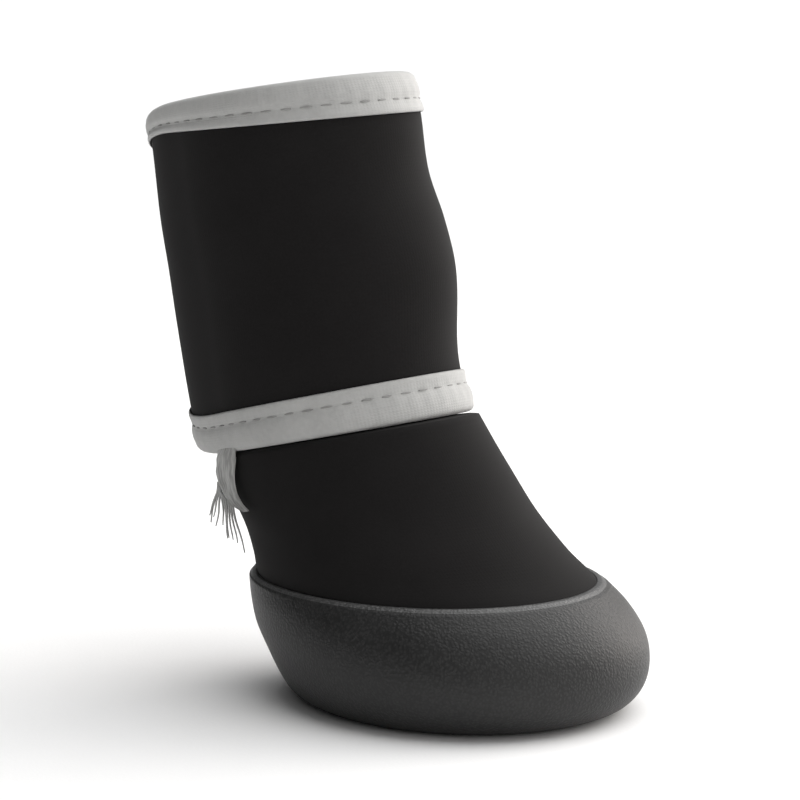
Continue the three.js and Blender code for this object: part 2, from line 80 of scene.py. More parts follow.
@dataclass(frozen=True)
class Table:
    """Rows of named columns, read smoothly along the first column or by row number.

    Args:
        names: the columns' names.
        rows: one tuple a row.
        by_row: True to read along the row number instead of the first column.
    """

    names: tuple[str, ...]
    rows: tuple[tuple[float, ...], ...]
    by_row: bool = False

    def read(self, name: str, place: np.ndarray | float) -> np.ndarray:
        """Reads a column at a place, straight on past the table's ends.

        Args:
            name: the column.
            place: where along the table.

        Returns:
            The column's value at each place.
        """
        data = np.array(self.rows, dtype=float)
        xs = np.arange(len(data), dtype=float) if self.by_row else data[:, 0]
        ys = data[:, self.names.index(name)]
        p = np.asarray(place, dtype=float)
        last = len(xs) - 1
        i = np.clip(np.searchsorted(xs, p, side="right") - 1, 0, last - 1)
        before, after = np.maximum(i - 1, 0), np.minimum(i + 2, last)
        span = xs[i + 1] - xs[i]
        t = (p - xs[i]) / span
        slope_in = (ys[i + 1] - ys[before]) / (xs[i + 1] - xs[before]) * span
        slope_out = (ys[after] - ys[i]) / (xs[after] - xs[i]) * span
        t2, t3 = t * t, t * t * t
        smooth = (
            (2 * t3 - 3 * t2 + 1) * ys[i]
            + (t3 - 2 * t2 + t) * slope_in
            + (3 * t2 - 2 * t3) * ys[i + 1]
            + (t3 - t2) * slope_out
        )
        low = ys[i] + t * (ys[i + 1] - ys[i])
        high = ys[i + 1] + (t - 1) * (ys[i + 1] - ys[i])
        return np.where(t < 0, low, np.where(t > 1, high, smooth))


@dataclass
class Oval:
    """A section of the boot: an oval in a plane that may lean.

    Its ends are a front and a rear point, each given by x and z, and half is half its width.
    """

    front_x: np.ndarray | float
    front_z: np.ndarray | float
    rear_x: np.ndarray | float
    rear_z: np.ndarray | float
    half: np.ndarray | float
    egg: np.ndarray | float = 0.0

    def point(self, degrees: np.ndarray, out: np.ndarray | float = 0.0) -> np.ndarray:
        """Points round the oval.

        Args:
            degrees: angle from the toe, growing to the left.
            out: distance outwards from the oval, in its plane.

        Returns:
            An array of points, in millimetres.
        """
        angle = np.radians(degrees)
        c, s = np.cos(angle), np.sin(angle)
        dx, dz = self.front_x - self.rear_x, self.front_z - self.rear_z
        length = np.hypot(dx, dz)
        reach = length / 2
        nx, ny = c / reach, s / self.half
        size = np.hypot(nx, ny)
        forward = reach * c + nx / size * out
        side = self.half * s * (1 + self.egg * c) + ny / size * out
        x = (self.front_x + self.rear_x) / 2 + dx / length * forward
        z = (self.front_z + self.rear_z) / 2 + dz / length * forward
        return np.stack(np.broadcast_arrays(x, side, z), axis=-1)


@dataclass(frozen=True)
class Soft:
    """A soft trough or ridge on the cloth, placed one by one.

    Args:
        u: angle of its middle, in degrees.
        v: height share or place of its middle.
        wide: its half width round the boot, in degrees.
        tall: its half height, in the units of v.
        slope: how far v moves for each degree, so that it can run askew.
        depth: how far it stands out, or in where it is negative, in millimetres.
    """

    u: float
    v: float
    wide: float
    tall: float
    slope: float
    depth: float

    def at(self, u: np.ndarray, v: np.ndarray) -> np.ndarray:
        """Its height at places on the cloth.

        Args:
            u: angles, in degrees.
            v: height shares or places.

        Returns:
            The height at each place, in millimetres.
        """
        du = (np.asarray(u) - self.u + 180) % 360 - 180
        dv = np.asarray(v) - self.v - self.slope * du
        return self.depth * hump(du / self.wide) * hump(dv / self.tall)


# The boot's shape


@dataclass
class Last:
    """The sizes and sections that every piece of the boot takes its shape from.

    Lengths are in millimetres, and angles in degrees from the toe, growing to the left. The
    tables give shares of the sole's or the shaft's half sizes. The last row of foot_rows is at
    the rim, and vamp_rows go a share of the way from there to the ankle.
    """

    sole_length: float = 76.0
    sole_width: float = 60.0
    sole_floor: float = 4.0
    rim_toe: float = 21.0
    rim_heel: float = 20.2
    upper_wall: float = 1.8
    upper_tuck: float = 13.0
    ankle_setback: float = 25.4
    ankle_height: float = 44.9
    shaft_height: float = 58.0
    shaft_depth: float = 48.0
    shaft_width: float = 42.0
    shaft_lean: float = 12.9
    shaft_wall: float = 1.8
    collar_rise: float = 2.4
    tape_width: float = 6.5
    tape_thick: float = 0.8
    collar_narrowing: float = 3.2
    ankle_narrowing: float = 0.8
    strap_height: float = 32.0
    strap_wall: float = 1.6
    patch_thick: float = 0.8
    gap: float = 0.3
    tucked_end: float = 190.0
    flap_start: float = -120.0
    flap_end: float = -220.0
    lift_start: float = -112.0
    lift_end: float = -168.0
    soft_from: float = -170.0
    soft_to: float = 150.0
    climb_rest: float = 6.0
    climb_angle: float = 42.0
    rim_place: float = 5.0
    ankle_place: float = 9.0
    strap_base: float = 70.0
    strap_tip: float = 176.0
    strap_middle: float = 0.52
    flap_round: float = 2.1
    end_cut: float = 0.99
    corner: float = 10.0
    egg: float = 0.05
    sole_rows: Table = Table(
        ("rise", "front", "rear", "side"),
        (
            (0.0, 0.725, 0.7, 0.76),
            (0.025, 0.79, 0.755, 0.825),
            (0.1, 0.87, 0.81, 0.895),
            (0.24, 0.93, 0.862, 0.95),
            (0.42, 0.945, 0.915, 0.99),
            (0.62, 0.92, 0.985, 0.995),
            (0.82, 0.837, 1.025, 0.965),
            (1.0, 0.72, 1.055, 0.905),
        ),
        by_row=True,
    )
    foot_rows: tuple[tuple[float, float, float, float], ...] = (
        (0.03, 0.775, 0.715, 0.77),
        (0.12, 0.862, 0.79, 0.865),
        (0.28, 0.873, 0.85, 0.898),
        (0.5, 0.85, 0.905, 0.91),
        (0.75, 0.775, 0.955, 0.89),
        (1.0, 0.68, 1.012, 0.86),
    )
    vamp_rows: tuple[tuple[float, float, float, float, float], ...] = (
        (0.26, 0.16, 0.08, 0.22, 0.17),
        (0.51, 0.39, 0.32, 0.46, 0.39),
        (0.785, 0.72, 0.82, 0.79, 0.74),
    )
    shaft_rows: Table = Table(
        ("rise", "shift", "depth", "width"),
        (
            (0.0, 0.006, 0.503, 0.5),
            (0.14, -0.008, 0.502, 0.5),
            (0.41, 0.022, 0.53, 0.507),
            (0.565, 0.018, 0.52, 0.505),
            (0.72, 0.0, 0.5, 0.5),
            (0.9, 0.014, 0.498, 0.495),
            (1.0, 0.009, 0.486, 0.49),
        ),
    )
    shaft_softness: tuple[Soft, ...] = (
        Soft(18, 0.2, 26, 0.1, 0.0, -0.35),
        Soft(-35, 0.32, 34, 0.12, 0.0012, 0.3),
        Soft(-70, 0.72, 26, 0.16, -0.001, -0.3),
        Soft(-105, 0.4, 18, 0.2, 0.0, -0.25),
        Soft(60, 0.85, 22, 0.1, 0.0, -0.2),
    )
    upper_softness: tuple[Soft, ...] = (
        Soft(-28, 7.3, 24, 0.55, 0.004, -0.5),
        Soft(24, 7.1, 22, 0.5, -0.004, -0.45),
        Soft(-70, 6.4, 22, 0.6, 0.006, 0.35),
        Soft(-118, 6.8, 20, 0.6, -0.004, -0.4),
        Soft(118, 6.8, 20, 0.6, 0.004, -0.4),
        Soft(0, 5.9, 20, 0.4, 0.0, 0.25),
    )
    upper_rows: Table = field(init=False)

    def __post_init__(self) -> None:
        """Works out the sizes that follow from the named ones."""
        self.bound = self.gap + self.tape_thick
        self.flap_lift = self.shaft_wall + 2 * self.bound + self.gap
        self.flap_edge = 360 + mix(self.flap_start, self.flap_end, self.end_cut)
        self.strap_low = self.bound + self.gap
        self.strap_high = self.flap_lift + 2 * self.bound + self.gap
        self.strap_round = (self.shaft_depth / 2 + self.strap_high) * math.pi / 180
        self.shoulder_drop = -self.bound - self.gap
        self.tuck_inset = self.shaft_wall + self.bound + self.gap
        self.upper_rows = self._upper_rows()

    def _upper_rows(self) -> Table:
        """The upper's sections, from its turned-in bottom edge to the ankle.

        Returns:
            A table read by row number.
        """
        half, side = self.sole_length / 2, self.sole_width / 2
        low = self.sole_floor + self.gap
        rows = [
            (
                front * half,
                mix(low, self.rim_toe, rise),
                -rear * half,
                mix(low, self.rim_heel, rise),
                wide * side,
                self.egg,
            )
            for rise, front, rear, wide in self.foot_rows
        ]
        rim = rows[-1]
        drop = -(self.shoulder_drop - self.gap) / self.shaft_height
        oval = self.shaft_oval(np.array(-drop))
        lean = math.radians(self.shaft_lean)
        # The upper stands out from the shaft's foot, more in front than behind.
        out_front, out_rear = 0.85 * self.upper_wall, 0.2 * self.upper_wall
        ankle = (
            float(oval.front_x) + math.cos(lean) * out_front,
            float(oval.front_z) + math.sin(lean) * out_front,
            float(oval.rear_x) + math.cos(lean) * out_rear,
            float(oval.rear_z) + math.sin(lean) * out_rear,
            float(oval.half),
            0.0,
        )
        for front_run, front_rise, rear_run, rear_rise, narrow in self.vamp_rows:
            rows.append(
                (
                    mix(rim[0], ankle[0], front_run),
                    mix(rim[1], ankle[1], front_rise),
                    mix(rim[2], ankle[2], rear_run),
                    mix(rim[3], ankle[3], rear_rise),
                    mix(rim[4], ankle[4], narrow),
                    self.egg * (1 - narrow),
                )
            )
        rows.append(ankle)
        names = ("front_x", "front_z", "rear_x", "rear_z", "half", "egg")
        return Table(names, tuple(rows), by_row=True)

    def shaft_oval(self, share: np.ndarray) -> Oval:
        """The shaft's section at a share of its height.

        Args:
            share: 0 at the ankle, 1 at the collar.

        Returns:
            The section.
        """
        lean = math.radians(self.shaft_lean)
        shift = self.shaft_rows.read("shift", share) * self.shaft_depth
        reach = self.shaft_rows.read("depth", share) * self.shaft_depth
        half = self.shaft_rows.read("width", share) * self.shaft_width
        up = np.asarray(share) * self.shaft_height
        x = -self.ankle_setback - math.sin(lean) * up + math.cos(lean) * shift
        z = self.ankle_height + math.cos(lean) * up + math.sin(lean) * shift
        dx, dz = math.cos(lean) * reach, math.sin(lean) * reach
        return Oval(x + dx, z + dz, x - dx, z - dz, half)

    def shaft_point(self, u: np.ndarray, v: np.ndarray, out: np.ndarray) -> np.ndarray:
        """A point on the shaft panel's outer face, or out from it.

        Args:
            u: angle along the panel, in degrees, past -180 on the flap.
            v: share of the shaft's height.
            out: distance outwards in millimetres.

        Returns:
            Points in millimetres.
        """
        lift = self.flap_lift * ease((u - self.lift_start) / (self.lift_end - self.lift_start))
        soft = sum(s.at(u, v) for s in self.shaft_softness)
        edge_fade, back_fade, left_fade = 0.12, 60, 40
        fade = ease(np.clip(np.minimum(v, 1 - v), 0, 1) / edge_fade)
        fade = fade * ease((u - self.soft_from) / back_fade)
        fade = fade * ease((self.soft_to - u) / left_fade)
        return self.shaft_oval(v).point(u, lift + out + soft * fade)

    def strap_point(self, u: np.ndarray, v: np.ndarray, out: np.ndarray) -> np.ndarray:
        """A point on the strap's outer face: it climbs from the panel over the flap's edge.

        Args:
            u: angle along the strap, in degrees.
            v: share of the shaft's height.
            out: distance outwards in millimetres.

        Returns:
            Points in millimetres.
        """
        start = self.flap_edge - self.climb_rest - self.climb_angle
        climb = ease((u - start) / self.climb_angle)
        rest = mix(self.strap_low, self.strap_high, climb) + self.strap_wall
        return self.shaft_oval(v).point(u, rest + out)

    def upper_oval(self, place: np.ndarray) -> Oval:
        """The upper's section at a place: 0 at its bottom edge, 5 at the rim, 9 at the ankle."""
        return Oval(*(self.upper_rows.read(name, place) for name in self.upper_rows.names))

    def upper_point(self, u: np.ndarray, place: np.ndarray, out: np.ndarray) -> np.ndarray:
        """A point on the upper's outer face, with its soft troughs and ridges.

        Args:
            u: angle, in degrees.
            place: as for upper_oval.
            out: distance outwards in millimetres.

        Returns:
            Points in millimetres.
        """
        soft = sum(s.at(u, place) for s in self.upper_softness)
        clear_of_rim, rim_fade, ankle_fade = 0.2, 0.8, 0.6
        fade = ease((place - self.rim_place - clear_of_rim) / rim_fade)
        fade = fade * ease((self.ankle_place - place) / ankle_fade)
        return self.upper_oval(place).point(u, out + soft * fade)

    def rim(self, u: np.ndarray) -> np.ndarray:
        """The height of the sole's rim at an angle."""
        return mix(self.rim_heel, self.rim_toe, (1 + np.cos(np.radians(u))) / 2)

    def sole_point(self, u: np.ndarray, row: np.ndarray, out: np.ndarray | float) -> np.ndarray:
        """A point on the sole's outer face.

        Args:
            u: angle, in degrees.
            row: 0 at the tread's edge, 7 at the rim.
            out: distance outwards in millimetres.

        Returns:
            Points in millimetres.
        """
        z = self.sole_rows.read("rise", row) * self.rim(u)
        half, side = self.sole_length / 2, self.sole_width / 2
        front = self.sole_rows.read("front", row) * half
        rear = -self.sole_rows.read("rear", row) * half
        points = Oval(front, z, rear, z, self.sole_rows.read("side", row) * side, self.egg)
        made = points.point(u, out)
        made[..., 2] = np.broadcast_to(z, made.shape[:-1])
        return made

    def flap_half(self, t: np.ndarray) -> np.ndarray:
        """Half the flap's height at a share of its length."""
        t = np.clip(t, 0, self.end_cut)
        return 0.5 * (1 - t**self.flap_round) ** (1 / self.flap_round)

    def shaft_edges(self, u: np.ndarray) -> tuple[np.ndarray, np.ndarray]:
        """The panel's edges: round at the flap, with round corners at the tucked end.

        Args:
            u: angles along the panel, in degrees.

        Returns:
            The lowest and the highest share of the shaft's height at each angle.
        """
        turn = math.degrees(self.corner / (self.shaft_depth / 2))
        along = (u - self.flap_start) / (self.flap_end - self.flap_start)
        half = np.where(u < self.flap_start, self.flap_half(along), 0.5)
        t = np.clip((u - (self.tucked_end - turn)) / turn, 0, 1)
        cut = self.corner / self.shaft_height * (1 - np.sqrt(np.maximum(0, 1 - t * t)))
        half = np.where(t > 0, 0.5 - cut, half)
        top = 1 + self.collar_rise / self.shaft_height * self.backness(u)
        return top * (0.5 - half), top * (0.5 + half)

    @staticmethod
    def backness(u: np.ndarray) -> np.ndarray:
        """0 at the toe, 1 at the heel."""
        return (1 - np.cos(np.radians(u))) / 2

    def shaft_tape_width(self, u: np.ndarray, v: np.ndarray) -> np.ndarray:
        """The shaft's tape is narrower at the back, most of all on the collar."""
        return self.tape_width - mix(
            self.ankle_narrowing, self.collar_narrowing, ease(v)
        ) * self.backness(u)

    def tab_edges(self, u: np.ndarray, half: float, tip: float) -> tuple[np.ndarray, np.ndarray]:
        """The edges of a tab with a round end.

        Args:
            u: angles along the tab, in degrees.
            half: half its height, in millimetres.
            tip: the angle of its tip.

        Returns:
            The lowest and the highest share of the shaft's height at each angle.
        """
        turn = half / self.strap_round
        t = np.clip((u - (tip - turn)) / turn, 0, self.end_cut)
        reach = half * np.sqrt(1 - t * t) / self.shaft_height
        return self.strap_middle - reach, self.strap_middle + reach


# Meshes


class Cap(Enum):
    """How the ends of a loft are closed."""

    LOOP = "joined in a loop"
    FAN = "a fan to the middle"
    STRIP = "a strip across the outline"


def running(points: np.ndarray, axis: int, closed: bool) -> np.ndarray:
    """Mean running length of a grid of points along an axis.

    Args:
        points: the grid.
        axis: 0 or 1.
        closed: True where the last point joins the first.

    Returns:
        Running lengths, one more than the points where closed.
    """
    grid = points if axis == 0 else points.swapaxes(0, 1)
    if closed:
        grid = np.concatenate([grid, grid[:1]])
    steps = np.linalg.norm(np.diff(grid, axis=0), axis=2).mean(axis=1)
    return np.concatenate([[0.0], np.cumsum(steps)])


def loft(
    name: str,
    loops: np.ndarray,
    cap: Cap,
    slots: Sequence[bpy.types.Material],
    pick: np.ndarray | None = None,
) -> bpy.types.Object:
    """Makes a closed skin over loops of points.

    Args:
        name: the piece's name.
        loops: loops by points by 3, in millimetres; each loop is closed on itself.
        cap: how the first and the last loop are closed.
        slots: the piece's materials.
        pick: the material's number for each strip of faces between two points of a loop, or
            between two loops where it has as many numbers as loops.

    Returns:
        The piece, with a UV map in millimetres along and across the loft.
    """
    count, around = loops.shape[:2]
    closed = cap is Cap.LOOP
    spans = count if closed else count - 1
    i, j = np.meshgrid(np.arange(spans), np.arange(around), indexing="ij")
    i2, j2 = (i + 1) % count, (j + 1) % around
    quads = np.stack([i * around + j, i * around + j2, i2 * around + j2, i2 * around + j], -1)
    quads = quads.reshape(-1, 4)
    along = running(loops, 0, closed)
    across = running(loops, 1, True)
    uv = np.stack(
        [
            np.stack([along[i], across[j]], -1),
            np.stack([along[i], across[j + 1]], -1),
            np.stack([along[i + 1], across[j + 1]], -1),
            np.stack([along[i + 1], across[j]], -1),
        ],
        axis=2,
    ).reshape(-1, 4, 2)
    numbers = np.zeros((spans, around), dtype=int)
    if pick is not None:
        numbers += pick[:, None] if len(pick) == spans else pick[None, :]
    points = loops.reshape(-1, 3)
    faces: list[Sequence[int]] = quads.tolist()
    corners = [uv.reshape(-1, 2)]
    mats = numbers.reshape(-1).tolist()
    end = (count - 1) * around
    if cap is Cap.FAN:
        points = np.concatenate([points, loops[0].mean(0)[None], loops[-1].mean(0)[None]])
        for k in range(around):
            n = (k + 1) % around
            faces.append([len(points) - 2, n, k])
            faces.append([len(points) - 1, end + k, end + n])
        corners.append(np.zeros((around * 6, 2)))
        mats += [int(numbers[0, 0]), int(numbers[-1, 0])] * around
    if cap is Cap.STRIP:
        for k in range(around // 2 - 1):
            a, b, c, d = k, k + 1, around - 2 - k, around - 1 - k
            faces.append([d, c, b, a])
            faces.append([end + a, end + b, end + c, end + d])
            mats += [int(numbers[0, 0])] * 2
        corners.append(np.zeros(((around // 2 - 1) * 8, 2)))
    piece = skin(name, points, faces, slots)
    layer = piece.data.uv_layers["millimetres"]
    layer.data.foreach_set("uv", np.concatenate(corners).astype("f").ravel())
    piece.data.polygons.foreach_set("material_index", mats)
    piece.data.polygons.foreach_set("use_smooth", [True] * len(faces))
    if signed_volume(piece.data) < 0:
        piece.data.flip_normals()
    piece.data.update()
    return piece


def skin(
    name: str,
    points: np.ndarray,
    faces: Sequence[Sequence[int]],
    slots: Sequence[bpy.types.Material],
) -> bpy.types.Object:
    """Makes an object of points and faces, with its materials and an empty UV map.

    Args:
        name: the piece's name.
        points: its points, in millimetres.
        faces: the points' numbers round each face.
        slots: the piece's materials.

    Returns:
        The piece, whose faces may still point inwards.
    """
    mesh = bpy.data.meshes.new(name)
    mesh.from_pydata((points * MM).tolist(), [], faces)
    mesh.uv_layers.new(name="millimetres")
    for material in slots:
        mesh.materials.append(material)
    piece = bpy.data.objects.new(name, mesh)
    bpy.context.collection.objects.link(piece)
    return piece


def tubes(
    name: str, lines: Sequence[np.ndarray], radius: float, material: bpy.types.Material
) -> bpy.types.Object:
    """Makes thin threads that follow lines and taper to their ends.

    Args:
        name: the piece's name.
        lines: each line's points, in millimetres.
        radius: a thread's radius at its start.
        material: their material.

    Returns:
        All the threads as one piece.
    """
    sides, taper = 6, 0.6
    off_line = (0.31, 0.95, 0.05)  # a way that no thread runs along
    angle = np.arange(sides) * math.tau / sides
    points, faces = [], []
    for line in lines:
        first = len(points)
        ahead = np.gradient(line, axis=0)
        ahead /= np.linalg.norm(ahead, axis=1)[:, None]
        one = np.cross(ahead, off_line)
        one /= np.linalg.norm(one, axis=1)[:, None]
        two = np.cross(ahead, one)
        for i, at in enumerate(line):
            size = radius * (1 - taper * i / len(line))
            ring = np.outer(np.cos(angle), one[i]) + np.outer(np.sin(angle), two[i])
            points += list(at + size * ring)
        end = len(points) - sides
        for i in range(first, end, sides):
            for j in range(sides):
                k = (j + 1) % sides
                faces.append([i + j, i + k, i + sides + k, i + sides + j])
        faces.append([first + j for j in reversed(range(sides))])
        faces.append([end + j for j in range(sides)])
    piece = skin(name, np.array(points), faces, [material])
    piece.data.polygons.foreach_set("use_smooth", [len(f) == 4 for f in faces])
    if signed_volume(piece.data) < 0:
        piece.data.flip_normals()
    return piece


def signed_volume(mesh: bpy.types.Mesh) -> float:
    """Volume inside a closed mesh.

    Args:
        mesh: the mesh.

    Returns:
        The volume, negative where the faces point inwards.
    """
    mesh.calc_loop_triangles()
    co = np.empty(len(mesh.vertices) * 3)
    mesh.vertices.foreach_get("co", co)
    co = co.reshape(-1, 3)
    tris = np.empty(len(mesh.loop_triangles) * 3, dtype=int)
    mesh.loop_triangles.foreach_get("vertices", tris)
    a, b, c = (co[tris.reshape(-1, 3)[:, k]] for k in range(3))
    return float(np.einsum("ij,ij->i", a, np.cross(b, c)).sum() / 6)


# Materials


def linear(code: str) -> tuple[float, float, float, float]:
    """Turns an sRGB hex colour into the linear colour that a shader takes.

    Args:
        code: such as "#1a1b1c".

    Returns:
        Red, green, blue and an alpha of 1.
    """
    parts = [int(code[k : k + 2], 16) / 255 for k in (1, 3, 5)]
    red, green, blue = (p / 12.92 if p <= 0.04045 else ((p + 0.055) / 1.055) ** 2.4 for p in parts)
    return red, green, blue, 1.0


def node(
    tree: bpy.types.NodeTree,
    kind: str,
    sockets: dict[str | int, object] | None = None,
    **settings: object,
) -> bpy.types.Node:
    """Adds a node with its settings, values and links.

    Args:
        tree: the node tree.
        kind: the node's type.
        sockets: input name or number to a value, or to the output socket that feeds it.
        settings: the node's own properties.

    Returns:
        The node.
    """
    made = tree.nodes.new(kind)
    for name, value in settings.items():
        setattr(made, name, value)
    for name, value in (sockets or {}).items():
        if isinstance(value, bpy.types.NodeSocket):
            tree.links.new(value, made.inputs[name])
        else:
            made.inputs[name].default_value = value
    return made


class Space(Enum):
    """What a finish's pattern follows."""

    OBJECT = "Object"
    SURFACE = "UV"


@dataclass(frozen=True)
class Finish:
    """What every finish has in common.

    Args:
        name: the material's name.
        dark: the darker of its two close colours.
        light: the lighter one.
        roughness: mean roughness.
        specular: specular level.
        sheen: sheen weight.
        mottle: size of the soft change between the two colours, in millimetres.
        space: what the pattern follows.
        depth: the relief's depth, in millimetres.
    """

    name: str
    dark: str
    light: str
    roughness: float
    specular: float
    sheen: float = 0.0
    mottle: float = 12.0
    space: Space = Space.OBJECT
    depth: float = 0.03

    def relief(self, tree: bpy.types.NodeTree, place: bpy.types.NodeSocket) -> tuple:
        """The height pattern.

        Args:
            tree: the node tree.
            place: coordinates in millimetres.

        Returns:
            The height's socket and a socket from 0 to 1 that lightens the colour.
        """
        clumps = 1.5  # in a millimetre
        noise = node(
            tree, "ShaderNodeTexNoise", {"Vector": place, "Scale": clumps, "Detail": 3.0}
        )
        return noise.outputs["Fac"], noise.outputs["Fac"]

    def build(self) -> bpy.types.Material:
        """Makes the material.

        Returns:
            A material whose pattern is in real millimetres.
        """
        cloud_share, fine_share, uneven = 0.55, 0.45, 0.07
        material = bpy.data.materials.new(self.name)
        material.use_nodes = True
        tree = material.node_tree
        tree.nodes.clear()
        coordinates = node(tree, "ShaderNodeTexCoord")
        # Object coordinates are in metres, and the UV map is in millimetres.
        scale = {Space.OBJECT: 1 / MM, Space.SURFACE: 1.0}
        place, whole = (
            node(
                tree,
                "ShaderNodeMapping",
                {"Vector": coordinates.outputs[space.value], "Scale": (scale[space],) * 3},
            ).outputs[0]
            for space in (self.space, Space.OBJECT)
        )
        height, tint = self.relief(tree, place)
        cloud = node(
            tree,
            "ShaderNodeTexNoise",
            {"Vector": whole, "Scale": 1 / self.mottle, "Detail": 4.0, "Roughness": 0.55},
        )
        both = node(
            tree,
            "ShaderNodeMath",
            {0: cloud.outputs["Fac"], 1: cloud_share, 2: 0.0},
            operation="MULTIPLY_ADD",
        )
        fine = node(
            tree,
            "ShaderNodeMath",
            {0: tint, 1: fine_share, 2: both.outputs[0]},
            operation="MULTIPLY_ADD",
        )
        colour = node(
            tree,
            "ShaderNodeMix",
            {0: fine.outputs[0], 6: linear(self.dark), 7: linear(self.light)},
            data_type="RGBA",
        )
        rough = node(
            tree,
            "ShaderNodeMapRange",
            {0: fine.outputs[0], 3: self.roughness - uneven, 4: self.roughness + uneven},
        )
        bump = node(
            tree,
            "ShaderNodeBump",
            {"Height": height, "Strength": 1.0, "Distance": self.depth * MM},
        )
        shader = node(
            tree,
            "ShaderNodeBsdfPrincipled",
            {
                "Base Color": colour.outputs[2],
                "Roughness": rough.outputs[0],
                "Normal": bump.outputs[0],
                "Specular IOR Level": self.specular,
                "Sheen Weight": self.sheen,
                "Sheen Roughness": 0.45,
            },
        )
        self.extra(shader)
        node(tree, "ShaderNodeOutputMaterial", {"Surface": shader.outputs[0]})
        return material

    def extra(self, shader: bpy.types.Node) -> None:
        """Sets what this finish alone has on the shader."""


@dataclass(frozen=True)
class MouldedRubber(Finish):
    """Moulded black rubber with a leather grain: rounded cells with soft creases between.

    Args:
        grain: a cell's size, in millimetres.
        pores: fine pores in a millimetre.
    """

    depth: float = 0.05
    grain: float = 0.5
    pores: float = 3.2

    def relief(self, tree: bpy.types.NodeTree, place: bpy.types.NodeSocket) -> tuple:
        """Leather grain: cells that are warped so that they don't look ruled.

        Args:
            tree: the node tree.
            place: coordinates in millimetres.

        Returns:
            As Finish.relief gives.
        """
        warp_scale, warp_far, pore_height = 0.8, 0.7, 0.35
        warp = node(
            tree, "ShaderNodeTexNoise", {"Vector": place, "Scale": warp_scale, "Detail": 2.0}
        )
        bent = node(
            tree,
            "ShaderNodeVectorMath",
            {0: warp.outputs["Color"], 1: (warp_far,) * 3, 2: place},
            operation="MULTIPLY_ADD",
        )
        cells = node(
            tree,
            "ShaderNodeTexVoronoi",
            {"Vector": bent.outputs[0], "Scale": 1 / self.grain, "Smoothness": 0.35},
            feature="SMOOTH_F1",
        )
        domes = node(
            tree,
            "ShaderNodeMapRange",
            {0: cells.outputs["Distance"], 1: 0.1, 2: 0.75, 3: 1.0, 4: 0.0},
            interpolation_type="SMOOTHSTEP",
        )
        pores = node(
            tree, "ShaderNodeTexNoise", {"Vector": place, "Scale": self.pores, "Detail": 2.0}
        )
        height = node(
            tree,
            "ShaderNodeMath",
            {0: pores.outputs["Fac"], 1: pore_height, 2: domes.outputs[0]},
            operation="MULTIPLY_ADD",
        )
        return height.outputs[0], domes.outputs[0]


@dataclass(frozen=True)
class Cloth(Finish):
    """Cloth: ribs across it and threads along it, with loose fibre over them.

    Args:
        rib: from one rib to the next, in millimetres.
        thread: from one thread to the next, in millimetres.
        waver: how far they waver from straight.
        tufts: tufts of loose fibre in a millimetre.
        detail: how fine the fibre is.
        fibre: the fibre's height, as a share of the ribs'.
    """

    rib: float = 0.55
    thread: float = 0.55
    waver: float = 0.8
    tufts: float = 2.4
    detail: float = 3.0
    fibre: float = 0.8

    def relief(self, tree: bpy.types.NodeTree, place: bpy.types.NodeSocket) -> tuple:
        """Ribs times threads, with a nap over them.

        Args:
            tree: the node tree.
            place: coordinates in millimetres.

        Returns:
            As Finish.relief gives.
        """
        ribs, threads = (
            node(
                tree,
                "ShaderNodeTexWave",
                {
                    "Vector": place,
                    "Scale": WAVE_PERIOD / apart,
                    "Distortion": self.waver,
                    "Detail": 1.0,
                },
                bands_direction=way,
            ).outputs["Fac"]
            for apart, way in ((self.rib, "X"), (self.thread, "Y"))
        )
        weave = node(tree, "ShaderNodeMath", {0: ribs, 1: threads}, operation="MULTIPLY")
        nap = node(
            tree,
            "ShaderNodeTexNoise",
            {"Vector": place, "Scale": self.tufts, "Detail": self.detail},
        )
        height = node(
            tree,
            "ShaderNodeMath",
            {0: nap.outputs["Fac"], 1: self.fibre, 2: weave.outputs[0]},
            operation="MULTIPLY_ADD",
        )
        return height.outputs[0], nap.outputs["Fac"]


@dataclass(frozen=True)
class Softshell(Cloth):
    """Knitted stretch softshell, brushed, with a close rib that only just shows.

    The real knit is about half as wide, too fine to show, so it is drawn at 0.55 mm.
    """

    depth: float = 0.01


@dataclass(frozen=True)
class WovenTape(Cloth):
    """Woven polyester edge tape: fine ribs across it, with a soft sheen."""

    depth: float = 0.025
    rib: float = 0.6
    thread: float = 0.4
    waver: float = 0.5
    tufts: float = 1.1
    detail: float = 4.0
    fibre: float = 0.9


@dataclass(frozen=True)
class FrayedTape(Finish):
    """The tape where its weave has come loose: pale and shaded strands that run along it.

    Args:
        strand: from one strand to the next, in millimetres.
        run: how far a strand stays the same, in millimetres.
    """

    depth: float = 0.12
    strand: float = 0.5
    run: float = 4.545

    def relief(self, tree: bpy.types.NodeTree, place: bpy.types.NodeSocket) -> tuple:
        """Strands side by side, of uneven length.

        Args:
            tree: the node tree.
            place: coordinates in millimetres.

        Returns:
            As Finish.relief gives.
        """
        drawn = node(
            tree,
            "ShaderNodeMapping",
            {"Vector": place, "Scale": (1 / self.run, 1 / self.strand, 1.0)},
        )
        strands = node(
            tree, "ShaderNodeTexNoise", {"Vector": drawn.outputs[0], "Scale": 1.0, "Detail": 2.0}
        )
        split = node(
            tree,
            "ShaderNodeMapRange",
            {0: strands.outputs["Fac"], 1: 0.35, 2: 0.65},
            interpolation_type="SMOOTHSTEP",
        )
        return split.outputs[0], split.outputs[0]


@dataclass(frozen=True)
class CoatedPatch(Finish):
    """Smooth polyurethane-coated cloth: nearly black, with a broad wet-looking shine.

    Args:
        coat: how strong its clear coat is.
        coat_roughness: the coat's roughness.
    """

    depth: float = 0.02
    coat: float = 0.2
    coat_roughness: float = 0.22

    def extra(self, shader: bpy.types.Node) -> None:
        """A thin clear coat."""
        shader.inputs["Coat Weight"].default_value = self.coat
        shader.inputs["Coat Roughness"].default_value = self.coat_roughness


